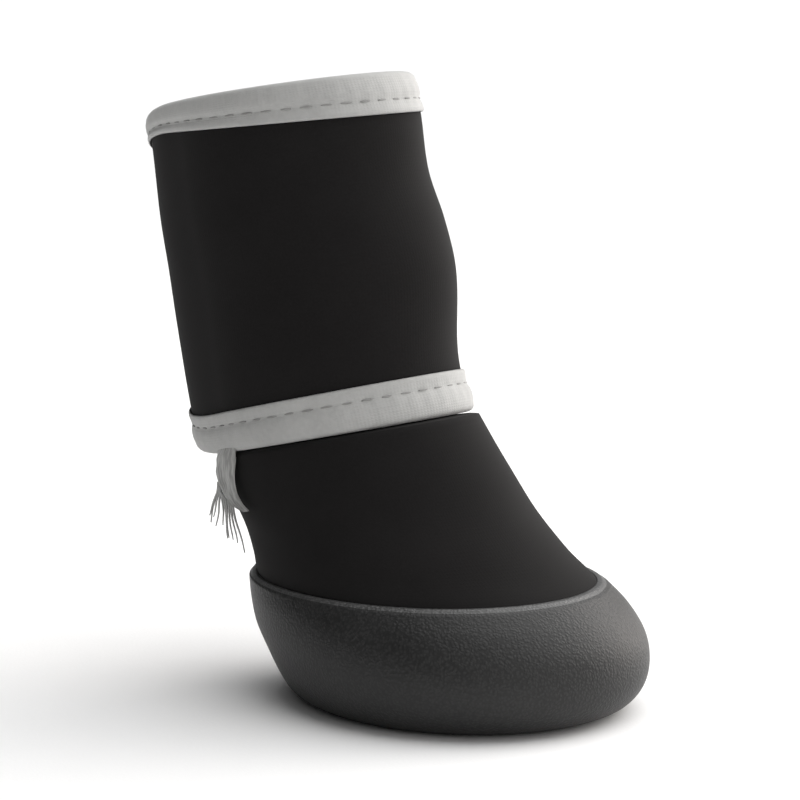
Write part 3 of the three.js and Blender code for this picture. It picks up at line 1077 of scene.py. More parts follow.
@dataclass
class Finishes:
    """All the boot's materials, made once."""

    rubber: bpy.types.Material = field(init=False)
    painted_highlight: bpy.types.Material = field(init=False)
    cloth: bpy.types.Material = field(init=False)
    lining: bpy.types.Material = field(init=False)
    tape: bpy.types.Material = field(init=False)
    frayed: bpy.types.Material = field(init=False)
    thread: bpy.types.Material = field(init=False)
    patch: bpy.types.Material = field(init=False)
    foam: bpy.types.Material = field(init=False)

    def __post_init__(self) -> None:
        """Makes each material."""
        # Moulded rubber gives a satin black whose grain catches small lights.
        self.rubber = MouldedRubber("moulded_rubber", "#1c1c1c", "#363636", 0.5, 0.3).build()
        # The lip's edge gets a paler colour, which is a painted highlight, and a lower roughness
        # that makes it shinier.
        self.painted_highlight = MouldedRubber("painted_highlight_rubber", "#2c2c2c", "#5c5c5c", 0.42, 0.45).build()
        # Knitted softshell gives a deep dull black with nearly no shine.
        self.cloth = Softshell(
            "softshell", "#141313", "#242323", 0.85, 0.06, 0.05, 14.0, Space.SURFACE
        ).build()
        # The brushed inner face of the cloth is as dark, with a pale bloom at a low angle.
        self.lining = Softshell(
            "brushed_lining", "#151515", "#242424", 0.95, 0.08, 0.3, 8.0, Space.SURFACE
        ).build()
        # Woven polyester tape gives a mid grey that glows a little where it turns away.
        self.tape = WovenTape(
            "woven_tape", "#989897", "#bcbcba", 0.72, 0.25, 0.25, 7.0, Space.SURFACE
        ).build()
        # Frayed tape gives pale loose strands with shade between them.
        self.frayed = FrayedTape(
            "frayed_tape", "#6f6f6d", "#c8c8c6", 0.78, 0.2, 0.3, 7.0, Space.SURFACE
        ).build()
        # Twisted polyester thread is darker than the tape and a little glossy.
        self.thread = Finish("polyester_thread", "#828280", "#9c9c9a", 0.6, 0.3).build()
        # Coated cloth gives a nearly black patch with a broad wet-looking shine.
        self.patch = CoatedPatch("coated_patch", "#060707", "#0b0c0c", 0.3, 0.3).build()
        # Cloth-faced foam is dull and dark.
        self.foam = Softshell("foam_insole", "#121212", "#1d1d1d", 0.95, 0.1, 0.2).build()


# Pieces


def settle(piece: bpy.types.Object, slot: str, *nodes: str) -> bpy.types.Object:
    """Puts a piece on the frame in place of its solids.

    Args:
        piece: the finished piece.
        slot: the record's material slot; not used.
        nodes: the solids that it stands for.

    Returns:
        The piece.
    """
    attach(piece, "root")
    if nodes:
        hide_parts(*nodes)
    log.info("%s: %d faces", piece.name, len(piece.data.polygons))
    return piece


@dataclass
class CupSole:
    """The rubber cup: a grained bowl with a thin lip, and wavy grooves under it.

    Args:
        last: the boot's shape.
        finishes: the boot's materials.
        around: points round it.
        floor_rings: rings of points from the tread's middle to its edge.
        groove_rows: rows of grooves.
        groove_width: a groove's width.
        groove_depth: its depth.
        groove_sway: how far it swings to each side.
        groove_wave: the length of one swing there and back.
        groove_round: half the width of its rounded edge.
        tread_strip: the width of the smooth strip along the middle.
        tread_margin: from the grooves to the tread's edge.
        mark_place: from the heel's end of the tread to the parting line's mark.
        mark_reach: half the mark's length.
        mark_width: the width of its lines.
        mark_depth: their depth.
        seam_width: the width of the parting line up the heel.
        seam_height: how far it stands out.
        bead: the height of the lip's bead.
        lip_row: the wall's row where the lip begins.
        lip_place: the upper's place where the lip touches the cloth.
        painted_highlight_from: the lip's ring where its painted highlight begins.
        painted_highlight_rings: how many rings of the lip carry the painted highlight.
    """

    last: Last
    finishes: Finishes
    around: int = 400
    floor_rings: int = 92
    groove_rows: int = 9
    groove_width: float = 0.85
    groove_depth: float = 0.8
    groove_sway: float = 0.7
    groove_wave: float = 4.2
    groove_round: float = 0.18
    tread_strip: float = 9.0
    tread_margin: float = 3.5
    mark_place: float = 1.6
    mark_reach: float = 2.6
    mark_width: float = 0.7
    mark_depth: float = 0.25
    seam_width: float = 0.9
    seam_height: float = 0.28
    bead: float = 0.22
    lip_row: float = 6.82
    lip_place: float = 5.07
    painted_highlight_from: int = 5
    painted_highlight_rings: int = 9

    def tread(self, x: np.ndarray, y: np.ndarray) -> np.ndarray:
        """How deep the tread is cut at each place: wavy grooves, and the seam's mark at the heel.

        Args:
            x: forward places in millimetres.
            y: sideways places in millimetres.

        Returns:
            The depth in millimetres.
        """
        _, front, rear, side = self.last.sole_rows.rows[0]
        half, wide = self.last.sole_length / 2, side * self.last.sole_width / 2
        toe, heel = front * half, -rear * half
        middle, reach = (toe + heel) / 2, (toe - heel) / 2
        pitch = 2 * (reach - self.tread_margin) / self.groove_rows
        depth = np.zeros_like(x)
        inner = self.tread_strip / 2
        most, end_fade = 0.97, 0.5
        for i in range(self.groove_rows):
            line = heel + self.tread_margin + pitch * (i + 0.5)
            share = (abs(line - middle) + self.groove_sway + self.groove_width) / reach
            outer = wide * math.sqrt(1 - min(most, share) ** 2) - self.tread_margin
            if outer - inner < 2 * self.groove_width:
                continue
            run = np.abs(y) - inner
            t = run / (outer - inner)
            wave = line + self.groove_sway * np.sin(run / self.groove_wave * math.tau)
            edge = self.groove_width / 2 + self.groove_round
            walls = ease((edge - np.abs(x - wave)) / (2 * self.groove_round))
            ends = ease((0.5 - np.abs(t - 0.5)) * (outer - inner) / end_fade + 0.5)
            depth = np.maximum(depth, self.groove_depth * walls * ends)
        at, thin, soft = heel + self.mark_place, self.mark_width / 2, 0.25
        bar = np.maximum(np.abs(x - at) - thin, np.abs(y) - self.mark_reach)
        stem = np.maximum(np.abs(y) - thin, x - at)
        mark = ease(0.5 - np.minimum(bar, stem) / soft)
        return np.maximum(depth, self.mark_depth * mark)

    def build(self) -> None:
        """Makes the cup and puts it in place of its solid."""
        last = self.last
        u = np.linspace(0, 360, self.around, endpoint=False)
        edge = last.sole_point(u, np.array(0.0), 0.0)
        pole, inner_pole = 0.012, 0.02
        floor = []
        for share in np.linspace(pole, 1, self.floor_rings, endpoint=False):
            ring = edge * share
            ring[:, 2] = self.tread(ring[:, 0], ring[:, 1])
            floor.append(ring)
        round_row, seam_start, seam_grow = 2, 0.2, 0.8
        low = np.linspace(0, round_row, 16)
        high = np.linspace(round_row, self.lip_row, 44)[1:]
        from_heel = np.abs(u - 180) * math.pi / 180 * last.sole_width / 2
        seam = self.seam_height * hump(from_heel / (self.seam_width / 2))
        outer = [
            last.sole_point(u, np.array(row), seam * ease((row - seam_start) / seam_grow))
            for row in (*low, *high)
        ]
        rim_out = outer[-1]
        close, loosen = 0.04, 0.6  # the cloth's clearance at the lip, and how soon it grows
        inner = []
        for p in np.linspace(self.lip_place, 0, 40):
            away = float(ease(np.array((last.rim_place - p) / loosen)))
            inner.append(last.upper_oval(p).point(u, mix(close, last.gap, away)))
        swell, bead_place, bead_sharp = 0.6, 0.72, 6
        climb = swell * (inner[0] - rim_out)[:, 2:] / (rim_out - outer[-2])[:, 2:]
        shoulder = rim_out + (rim_out - outer[-2]) * climb
        lip = []
        for t in np.linspace(0, 1, 15)[1:-1]:
            ring = mix(mix(rim_out, shoulder, t), mix(shoulder, inner[0], t), t)
            ring[:, 2] += self.bead * hump((t - bead_place) * bead_sharp)
            lip.append(ring)
        well = inner[-1].copy()
        well[:, 2] = last.sole_floor
        bottom = well * np.array([inner_pole, inner_pole, 1.0])
        loops = np.stack([*floor, *outer, *lip, *inner, well, bottom])
        # These rings of the lip take the paler material, a painted highlight.
        painted_highlight = len(floor) + len(outer) + self.painted_highlight_from + np.arange(self.painted_highlight_rings)
        pick = np.isin(np.arange(len(loops) - 1), painted_highlight).astype(int)
        slots = [self.finishes.rubber, self.finishes.painted_highlight]
        piece = loft("sole_cup", loops, Cap.FAN, slots, pick)
        settle(piece, "sole", "sole")


@dataclass
class FootUpper:
    """The soft hollow upper between the cup and the shaft, and the insole in it.

    Args:
        last: the boot's shape.
        finishes: the boot's materials.
        around: points round it.
        lining_short: how many rings the inner face stops short of the ankle.
        shoulder_steps: shares of the way from the ankle into the shaft that have a ring.
        shoulder_bulge: how far the cloth swells there.
        insole_thick: the insole's thickness.
        insole_dip: how far the insole dips under the paw.
    """

    last: Last
    finishes: Finishes
    around: int = 220
    lining_short: int = 6
    shoulder_steps: tuple[float, ...] = (0.12, 0.35, 0.65, 0.88)
    shoulder_bulge: float = 0.25
    insole_thick: float = 3.0
    insole_dip: float = 0.35

    def build(self) -> None:
        """Makes the upper and the insole and puts them in place of their solids."""
        last = self.last
        u = np.linspace(0, 360, self.around, endpoint=False)
        places = np.linspace(0, last.ankle_place, 92)
        outer, inner = (
            [last.upper_point(u, np.array(p), np.array(out)) for p in some]
            for some, out in ((places, 0.0), (places[: -self.lining_short], -last.upper_wall))
        )
        rises = np.linspace(0, last.upper_tuck, 10)

        def tuck(start: float, inset: float) -> list[np.ndarray]:
            """The part of the upper that is tucked inside the shaft.

            Args:
                start: where it starts, up from the shaft's foot.
                inset: how far in from the upper's outer face.

            Returns:
                Its rings.
            """
            made = []
            for rise in [start, *rises[1:]]:
                share = np.array(rise / last.shaft_height)
                made.append(last.shaft_oval(share).point(u, -last.tuck_inset - inset))
            return made

        shoulder = []
        high = tuck(last.shoulder_drop, 0.0)
        for t in self.shoulder_steps:
            ring = mix(outer[-1], high[0], t)
            ring[:, 2] += self.shoulder_bulge * math.sin(t * math.pi)
            shoulder.append(ring)
        lower = 0.8 * last.upper_wall
        low = tuck(last.shoulder_drop - lower, last.upper_wall)
        loops = np.stack([*outer, *shoulder, *high, *reversed(low), *reversed(inner)])
        lined = len(outer) + len(shoulder) + len(high)
        pick = (np.arange(len(loops)) >= lined).astype(int)
        slots = [self.finishes.cloth, self.finishes.lining]
        piece = loft("foot_upper", loops, Cap.LOOP, slots, pick)
        settle(piece, "upper", "upper")
        self.insole(u)

    def insole(self, u: np.ndarray) -> None:
        """Makes the insole: a foam sheet with a rounded edge that dips under the paw.

        Args:
            u: the angles of its outline.
        """
        last = self.last
        bottom = last.sole_floor + last.gap
        top = bottom + self.insole_thick
        edge = last.upper_oval(np.array(0.0)).point(u, -last.upper_wall - last.gap)
        pole, round_edge, half = 0.03, 0.03, self.insole_thick / 2
        outline = [(share, bottom) for share in np.linspace(pole, 0.96, 16)]
        for angle in np.radians(np.linspace(-90, 90, 9)):
            share = 1 - round_edge + round_edge * math.cos(angle)
            outline.append((share, bottom + half + half * math.sin(angle)))
        for share in np.linspace(0.96, pole, 22):
            outline.append((share, top - self.insole_dip * (1 - share * share)))
        rings = []
        for share, z in outline:
            ring = edge * share
            ring[:, 2] = z
            rings.append(ring)
        piece = loft("insole_sheet", np.stack(rings), Cap.FAN, [self.finishes.foam])
        settle(piece, "insole", "insole")


def panel(
    name: str,
    place: Placer,
    columns: np.ndarray,
    edges: tuple[np.ndarray, np.ndarray],
    faces: tuple[float, float],
    rows: int,
    slots: Sequence[bpy.types.Material],
) -> bpy.types.Object:
    """Makes a panel of cloth on a curved face.

    Args:
        name: the piece's name.
        place: gives a point for u, v and out.
        columns: the u of each column.
        edges: the lowest and highest v of each column.
        faces: the out of its outer and inner face.
        rows: how many rows it has.
        slots: its outer and, if it has two, its inner material.

    Returns:
        The piece.
    """
    share = np.linspace(0, 1, rows)
    share = np.concatenate([share, share[::-1]])
    out = np.concatenate([np.full(rows, faces[0]), np.full(rows, faces[1])])
    u = np.repeat(columns[:, None], 2 * rows, axis=1)
    low, high = edges
    v = low[:, None] + (high - low)[:, None] * share[None, :]
    loops = place(u, v, np.repeat(out[None, :], len(columns), axis=0))
    pick = np.repeat([0, len(slots) - 1], rows)
    return loft(name, loops, Cap.STRIP, slots, pick)


@dataclass
class EdgeTape:
    """Folded tape over a panel's edge, sewn through near its inner edge.

    Args:
        last: the boot's shape.
        place: gives a point on the panel for u, v and out.
        wall: the panel's thickness.
        path: the edge as rows of u and v.
        closed: True where the tape runs all round.
        widths: the tape's width at each point of the path.
    """

    last: Last
    place: Placer
    wall: float
    path: np.ndarray
    closed: bool
    widths: np.ndarray

    def inside(self) -> float:
        """How far the tape's inner face is from the panel's middle."""
        return self.wall / 2 + self.last.gap / 2

    def face(self) -> float:
        """How far the tape's pressed outer face is from the panel's middle."""
        return self.inside() + PRESSED * self.last.tape_thick

    def frames(self) -> tuple[np.ndarray, np.ndarray]:
        """The way from the panel's edge towards its middle.

        Returns:
            The steps in u and in v for a millimetre, at each point of the path.
        """
        u, v = self.path[:, 0], self.path[:, 1]
        zero = np.zeros_like(u)
        du, dv = 0.5, 0.005
        across = self.place(u + du, v, zero) - self.place(u - du, v, zero)
        upward = self.place(u, v + dv, zero) - self.place(u, v - dv, zero)
        per_u = np.linalg.norm(across, axis=1) / (2 * du)
        per_v = np.linalg.norm(upward, axis=1) / (2 * dv)
        count, reach = len(u), 3
        ahead, behind = np.arange(count) + reach, np.arange(count) - reach
        if self.closed:
            ahead, behind = self.path[ahead % count], self.path[behind % count]
        else:
            ahead, behind = self.path[np.minimum(ahead, count - 1)], self.path[np.maximum(behind, 0)]
        run = ahead - behind
        inward = np.stack([-run[:, 1] * per_v, run[:, 0] * per_u], axis=1)
        inward /= np.linalg.norm(inward, axis=1)[:, None]
        return inward[:, 0] / per_u, inward[:, 1] / per_v

    def at(self, share: np.ndarray, margin: np.ndarray, y: np.ndarray) -> np.ndarray:
        """Points of the tape.

        Args:
            share: how far in from the panel's edge, as a share of the tape's width.
            margin: how much further in, in millimetres.
            y: distance out from the panel's middle.

        Returns:
            One loop of points for each point of the path.
        """
        du, dv = self.frames()
        x = share * self.widths[:, None] + margin
        u = self.path[:, 0][:, None] + du[:, None] * x
        v = self.path[:, 1][:, None] + dv[:, None] * x
        return self.place(u, v, np.broadcast_to(y - self.wall / 2, u.shape))

    def outline(self) -> tuple[np.ndarray, np.ndarray, np.ndarray]:
        """The tape's section: a soft round fold, a dip where it is sewn and a raised lip.

        Returns:
            For each point its share of the tape's width, how much further in it is, and its
            distance out from the panel's middle.
        """
        gap, edge = self.last.gap, self.last.bound
        inside, out, sewn = self.inside(), self.face(), SEWN
        side = [
            # The tape's own edge, turned down on the panel
            (1, 0, inside + 0.2),
            (1, 0.05, out - 0.28),
            (1, -0.15, out - 0.02),
            (1, -0.5, out + 0.06),
            (1, -1.0, out - 0.02),
            # The dip under the stitches
            (sewn, 0.35, out - 0.2),
            (sewn, 0, out - 0.3),
            (sewn, -0.4, out - 0.18),
            # The full part between the stitches and the fold
            (sewn - 0.14, 0, out + 0.05),
            (sewn - 0.27, 0, out + 0.16),
            (sewn - 0.42, 0, out + 0.14),
            (0.1, 0, out + 0.04),
            # The fold round the panel's edge
            (0, -edge * 0.2, out * 0.95),
            (0, -edge * 0.55, out * 0.8),
            (0, -edge * 0.83, out * 0.55),
            (0, -edge * 0.98, out * 0.22),
        ]
        hollow = [
            (0, -gap, inside * 0.5),
            (0, -gap, inside),
            (0.1, 0, inside),
            (sewn, 0, inside),
        ]
        outer = side + [(share, x, -y) for share, x, y in reversed(side)]
        inner = [(share, x, -y) for share, x, y in reversed(hollow)] + hollow
        return tuple(np.array(outer + inner).T)

    def build(self, name: str, finishes: Finishes) -> bpy.types.Object:
        """Makes the tape.

        Args:
            name: the piece's name.
            finishes: the boot's materials.

        Returns:
            The tape.
        """
        share, x, y = self.outline()
        degree = 0.42  # a degree's mean length round the boot
        run = running(self.path[:, None, :] * np.array([degree, self.last.shaft_height]), 0, False)
        pulls = ((0.05, STITCH_PITCH), (0.06, 11.3))  # heights and wavelengths of its puckers
        pucker = sum(high * np.sin(run * math.tau / long) for high, long in pulls)
        fullest, sharp = 0.45, 2.5  # where across its width it puckers most
        weight = hump((share - fullest) * sharp) * np.sign(y)
        bent = y[None, :] + pucker[:, None] * weight[None, :]
        loops = self.at(share[None, :], x[None, :], bent)
        return loft(name, loops, Cap.LOOP if self.closed else Cap.STRIP, [finishes.tape])

    def stitch_line(self) -> np.ndarray:
        """The line that the stitches follow, on the tape's outer face.

        Returns:
            Its points in millimetres, clear of the tape's open ends.
        """
        sunk, clear = 0.27, 2
        share, y = np.full((1, 1), SEWN), np.full((1, 1), self.face() - sunk)
        line = self.at(share, np.zeros((1, 1)), y)[:, 0, :]
        return line if self.closed else line[clear:-clear]


@dataclass
class StitchRow:
    """Machine stitches along a line, made by one node tree.

    Args:
        pitch: from one stitch to the next, in millimetres.
        length: one stitch's length.
        width: its thread's width.
        seed: the seed of their small unevenness.
        tree: the node tree, made at the first row.
    """

    pitch: float = STITCH_PITCH
    length: float = 2.1
    width: float = 0.34
    seed: int = 7
    tree: bpy.types.NodeTree | None = None

    def make_tree(self) -> bpy.types.NodeTree:
        """Builds the node tree, with named inputs for the sizes.

        Returns:
            The tree.
        """
        tree = bpy.data.node_groups.new("stitch_row", "GeometryNodeTree")
        face = tree.interface
        face.new_socket("Line", in_out="INPUT", socket_type="NodeSocketGeometry")
        for name in ("Pitch", "Length", "Width"):
            face.new_socket(name, in_out="INPUT", socket_type="NodeSocketFloat")
        face.new_socket("Thread", in_out="INPUT", socket_type="NodeSocketMaterial")
        face.new_socket("Stitches", in_out="OUTPUT", socket_type="NodeSocketGeometry")
        given = node(tree, "NodeGroupInput").outputs
        evenly = node(
            tree,
            "GeometryNodeResampleCurve",
            {"Curve": given["Line"], "Length": given["Pitch"]},
            mode="LENGTH",
        )
        tangent = node(tree, "GeometryNodeInputTangent")
        turned = node(
            tree,
            "FunctionNodeAlignRotationToVector",
            {"Vector": tangent.outputs[0]},
            axis="X",
        )
        ball = node(
            tree, "GeometryNodeMeshUVSphere", {"Segments": 8, "Rings": 6, "Radius": 0.5}
        )
        size = node(
            tree,
            "ShaderNodeCombineXYZ",
            {"X": given["Length"], "Y": given["Width"], "Z": given["Width"]},
        )
        stitch = node(
            tree,
            "GeometryNodeTransform",
            {"Geometry": ball.outputs[0], "Scale": size.outputs[0]},
        )
        uneven = node(
            tree,
            "FunctionNodeRandomValue",
            {0: (0.9, 0.9, 0.9), 1: (1.08, 1.1, 1.1), "Seed": self.seed},
            data_type="FLOAT_VECTOR",
        )
        placed = node(
            tree,
            "GeometryNodeInstanceOnPoints",
            {
                "Points": evenly.outputs[0],
                "Instance": stitch.outputs[0],
                "Rotation": turned.outputs[0],
                "Scale": uneven.outputs[0],
            },
        )
        smooth = node(tree, "GeometryNodeSetShadeSmooth", {0: placed.outputs[0]})
        real = node(tree, "GeometryNodeRealizeInstances", {0: smooth.outputs[0]})
        done = node(
            tree,
            "GeometryNodeSetMaterial",
            {"Geometry": real.outputs[0], "Material": given["Thread"]},
        )
        node(tree, "NodeGroupOutput", {0: done.outputs[0]})
        return tree

    def build(self, name: str, line: np.ndarray, thread: bpy.types.Material) -> bpy.types.Object:
        """Sews a row of stitches.

        Args:
            name: the piece's name.
            line: the points that the row follows, in millimetres.
            thread: the thread's material.

        Returns:
            The stitches as one plain mesh.
        """
        if self.tree is None:
            self.tree = self.make_tree()
        curve = bpy.data.curves.new(name + "_line", "CURVE")
        curve.dimensions = "3D"
        spline = curve.splines.new("POLY")
        spline.points.add(len(line) - 1)
        flat = np.concatenate([line * MM, np.ones((len(line), 1))], axis=1)
        spline.points.foreach_set("co", flat.ravel())
        guide = bpy.data.objects.new(name + "_line", curve)
        bpy.context.collection.objects.link(guide)
        modifier = guide.modifiers.new("stitches", "NODES")
        modifier.node_group = self.tree
        values = {
            "Pitch": self.pitch * MM,
            "Length": self.length * MM,
            "Width": self.width * MM,
            "Thread": thread,
        }
        for item in self.tree.interface.items_tree:
            if item.item_type == "SOCKET" and item.name in values:
                modifier[item.identifier] = values[item.name]
        bpy.context.view_layer.update()
        graph = bpy.context.evaluated_depsgraph_get()
        mesh = bpy.data.meshes.new_from_object(guide.evaluated_get(graph))
        guide.modifiers.remove(modifier)
        bpy.data.objects.remove(guide)
        mesh.name = name
        piece = bpy.data.objects.new(name, mesh)
        bpy.context.collection.objects.link(piece)
        return piece


@dataclass
class WrapShaft:
    """The shaft: one bound panel lapped over itself at the back, and the tape's spare end.

    Args:
        last: the boot's shape.
        finishes: the boot's materials.
        sewing: sews the stitches.
        steps: columns of the panel's corner, of its plain part and of its flap.
        rows: rows of the panel.
        tail_angle: where the spare end hangs, in degrees.
        tail_length: its length.
        tail_width: its width, folded.
        tail_degree: a degree's length round the shaft, there.
        fray_count: loose threads at its end.
        fray_width: a loose thread's width.
        seed: the seed of the loose threads.
        tail_rows: how far it curls forward and stands off, as shares of its length, and its
            share of its width.
    """

    last: Last
    finishes: Finishes
    sewing: StitchRow
    steps: tuple[int, int, int] = (16, 190, 90)
    rows: int = 44
    tail_angle: float = -116.0
    tail_length: float = 11.0
    tail_width: float = 4.4
    tail_degree: float = 0.4
    fray_count: int = 10
    fray_width: float = 0.46
    seed: int = 11
    tail_rows: Table = Table(
        ("down", "curl", "off", "width"),
        (
            (-0.1, 0.0, 0.0, 1.0),
            (0.15, -0.05, 0.02, 1.05),
            (0.4, -0.07, 0.08, 1.1),
            (0.65, 0.04, 0.12, 0.9),
            (0.85, 0.24, 0.14, 0.55),
            (1.0, 0.46, 0.14, 0.2),
        ),
    )

    def columns(self) -> np.ndarray:
        """Angles along the panel, closer together towards its rounded ends.

        Returns:
            The angles, from the tucked end to the flap's tip.
        """
        last = self.last
        turn = math.degrees(last.corner / (last.shaft_depth / 2))
        corner_steps, plain_steps, flap_steps = self.steps
        quarter = np.sin(np.linspace(0, math.pi / 2, corner_steps))
        corner = (last.tucked_end - turn + turn * quarter)[1:][::-1]
        plain = np.linspace(last.tucked_end - turn, last.flap_start, plain_steps)
        flap_turn = np.sin(np.linspace(0, math.pi / 2, flap_steps)) * last.end_cut
        flap = mix(last.flap_start, last.flap_end, flap_turn)[1:]
        return np.concatenate([corner, plain, flap])

    def build(self) -> None:
        """Makes the panel, its tape, its stitches and the spare end."""
        last = self.last
        columns = self.columns()
        low, high = last.shaft_edges(columns)
        slots = [self.finishes.cloth, self.finishes.lining]
        faces = (0.0, -last.shaft_wall)
        edges = (low, high)
        piece = panel("shaft_panel", last.shaft_point, columns, edges, faces, self.rows, slots)
        settle(piece, "shaft", "shaft")
        tip = mix(low[-1], high[-1], np.linspace(0, 1, 8)[1:-1])
        side = mix(high[0], low[0], np.linspace(0, 1, 60)[1:-1])
        path = np.concatenate(
            [
                np.stack([columns, low], 1),
                np.stack([np.full(len(tip), columns[-1]), tip], 1),
                np.stack([columns, high], 1)[::-1],
                np.stack([np.full(len(side), columns[0]), side], 1),
            ]
        )[::-1]
        widths = last.shaft_tape_width(path[:, 0], path[:, 1])
        tape = EdgeTape(last, last.shaft_point, last.shaft_wall, path, True, widths)
        settle(tape.build("shaft_tape", self.finishes), "shaft_binding", "shaft_binding")
        line = tape.stitch_line()
        sewn = self.sewing.build("shaft_stitches", line, self.finishes.thread)
        settle(sewn, "shaft_binding")
        self.tail()

    def tail_point(self, down: np.ndarray, side: np.ndarray, out: np.ndarray) -> np.ndarray:
        """A point on the spare end of the tape, or off it.

        Args:
            down: how far down it, as a share of its length.
            side: how far across, in millimetres, forwards.
            out: distance outwards in millimetres.

        Returns:
            Points in millimetres.
        """
        last, length = self.last, self.tail_length
        v = -(last.bound / 2 + down * length) / last.shaft_height
        share = np.minimum(down, 1.0)
        turn = self.tail_rows.read("curl", share) * length + side
        off = last.gap + self.tail_rows.read("off", share) * length + out
        return last.shaft_point(self.tail_angle + turn / self.tail_degree, v, off)

    def tail(self) -> None:
        """Makes the spare end of the tape: folded, curled forward to a point, and frayed."""
        top, thinnest = -0.1, 0.35
        down = np.linspace(top, 1.0, 56)[:, None]
        angle = np.linspace(0, math.tau, 40, endpoint=False)[None, :]
        across = np.sign(np.cos(angle)) * np.abs(np.cos(angle)) ** 0.5 / 2
        width = np.maximum(thinnest, self.tail_rows.read("width", down) * self.tail_width)
        flare, shift = 1.45, 0.12  # it leaves the tape wider, and hangs a little forward
        width = width * mix(flare, 1.0, ease(down))
        # One fold runs down it, askew, and it is wrinkled, uneven and cupped.
        fold_deep, fold_place, askew, sharp, fold_start = 0.34, 0.12, 0.2, 9, 0.3
        fold_line = across - fold_place - askew * (down - 0.5)
        fold = fold_deep * hump(fold_line * sharp) * ease(down / fold_start)
        wrinkle_deep, wrinkles, slant = 0.07, 31, 5
        wrinkle = wrinkle_deep * np.sin(down * wrinkles + across * slant)
        mean_thick, swell, swells, cup_deep = 0.62, 0.2, 9, 0.45
        thick = self.last.tape_thick * (mean_thick + swell * np.sin(down * swells))
        cup = cup_deep * (2 * across) ** 2
        lift, flatten, tuck = 0.55, 0.8, 0.25
        out = lift + (thick - fold + wrinkle) * np.sin(angle) * flatten - cup
        out = out * ease((down - top) / tuck)
        loops = self.tail_point(down, width * (across + shift), out)
        settle(loft("tape_tail", loops, Cap.FAN, [self.finishes.frayed]), "shaft_binding")
        threads = self.loose_threads()
        frayed = tubes("tape_fray", threads, self.fray_width / 2, self.finishes.tape)
        settle(frayed, "shaft_binding")

    def loose_threads(self) -> list[np.ndarray]:
        """Lines for the loose threads, which fan out from the spare end's rear edge.

        Returns:
            Each thread's points, in millimetres.
        """
        rng = np.random.default_rng(self.seed)
        along = np.linspace(0, 1, 12)
        highest, lowest = 0.48, 0.85  # where they leave the spare end, down it
        rearmost, foremost, lean_spread = -4.2, 1.5, 0.5  # how far they lean, in millimetres
        shortest, longest = 0.4, 0.85  # as shares of the spare end's length
        rear_edge, wave_high, waves = 0.42, 0.2, 7
        clear, lift, lift_spread = 0.3, 0.5, 0.3
        threads = []
        for k in range(self.fray_count):
            share = k / (self.fray_count - 1)
            start = mix(highest, lowest, share)
            lean = mix(rearmost, foremost, share) + rng.normal(0, lean_spread)
            length = rng.uniform(shortest, longest)
            wide = float(self.tail_rows.read("width", start)) * self.tail_width
            down = start + length * along
            # The spare end's curl is taken off again, because a thread doesn't follow it.
            curls = self.tail_rows.read("curl", np.array([start, *np.minimum(down, 1.0)]))
            back = (curls[0] - curls[1:]) * self.tail_length
            wave = wave_high * np.sin(along * waves + k)
            side = back - rear_edge * wide + lean * along**1.4 + wave
            out = clear + (lift + rng.uniform(-lift_spread, lift_spread)) * along
            threads.append(self.tail_point(down, side, out))
        return threads


@dataclass
class ClosingStrap:
    """The strap sewn on the left side: a bound tab with a round end and a smooth patch.

    Args:
        last: the boot's shape.
        finishes: the boot's materials.
        sewing: sews the stitches.
        steps: columns of its straight part and of its round end.
        rows: rows of the strap, and of its patch.
        patch_start: how far from the strap's sewn end the patch starts, in degrees.
    """

    last: Last
    finishes: Finishes
    sewing: StitchRow
    steps: tuple[int, int] = (70, 44)
    rows: tuple[int, int] = (24, 16)
    patch_start: float = 10.0

    def columns(self, start: float, half: float, tip: float) -> np.ndarray:
        """Angles along a tab with a round end, closer together towards its tip.

        Args:
            start: the angle where it starts.
            half: half its height, in millimetres.
            tip: the angle of its tip.

        Returns:
            The angles.
        """
        turn = half / self.last.strap_round
        straight = np.linspace(start, tip - turn, self.steps[0])
        curve = np.sin(np.linspace(0, math.pi / 2, self.steps[1])) * self.last.end_cut
        return np.concatenate([straight, (tip - turn + turn * curve)[1:]])

    def build(self) -> None:
        """Makes the strap, its tape and stitches, and its patch."""
        last = self.last
        half = last.strap_height / 2
        columns = self.columns(last.strap_base, half, last.strap_tip)
        edges = last.tab_edges(columns, half, last.strap_tip)
        slots = [self.finishes.cloth, self.finishes.lining]
        faces = (0.0, -last.strap_wall)
        rows, patch_rows = self.rows
        piece = panel("strap_panel", last.strap_point, columns, edges, faces, rows, slots)
        settle(piece, "strap", "strap")
        low, high = edges
        tip = mix(low[-1], high[-1], np.linspace(0, 1, 6)[1:-1])
        path = np.concatenate(
            [
                np.stack([columns, low], 1),
                np.stack([np.full(len(tip), columns[-1]), tip], 1),
                np.stack([columns, high], 1)[::-1],
            ]
        )
        widths = np.full(len(path), last.tape_width)
        tape = EdgeTape(last, last.strap_point, last.strap_wall, path, False, widths)
        bound = tape.build("strap_tape", self.finishes)
        settle(bound, "strap_binding", "strap_binding")
        sewn = self.sewing.build("strap_stitches", tape.stitch_line(), self.finishes.thread)
        settle(sewn, "strap_binding")
        inset = last.tape_width + 2 * last.gap
        tip_u = last.strap_tip - inset / last.strap_round
        columns = self.columns(last.strap_base + self.patch_start, half - inset, tip_u)
        edges = last.tab_edges(columns, half - inset, tip_u)
        faces = (last.gap + last.patch_thick, last.gap)
        name, slots = "strap_patch_sheet", [self.finishes.patch]
        piece = panel(name, last.strap_point, columns, edges, faces, patch_rows, slots)
        settle(piece, "strap_patch", "strap_patch")


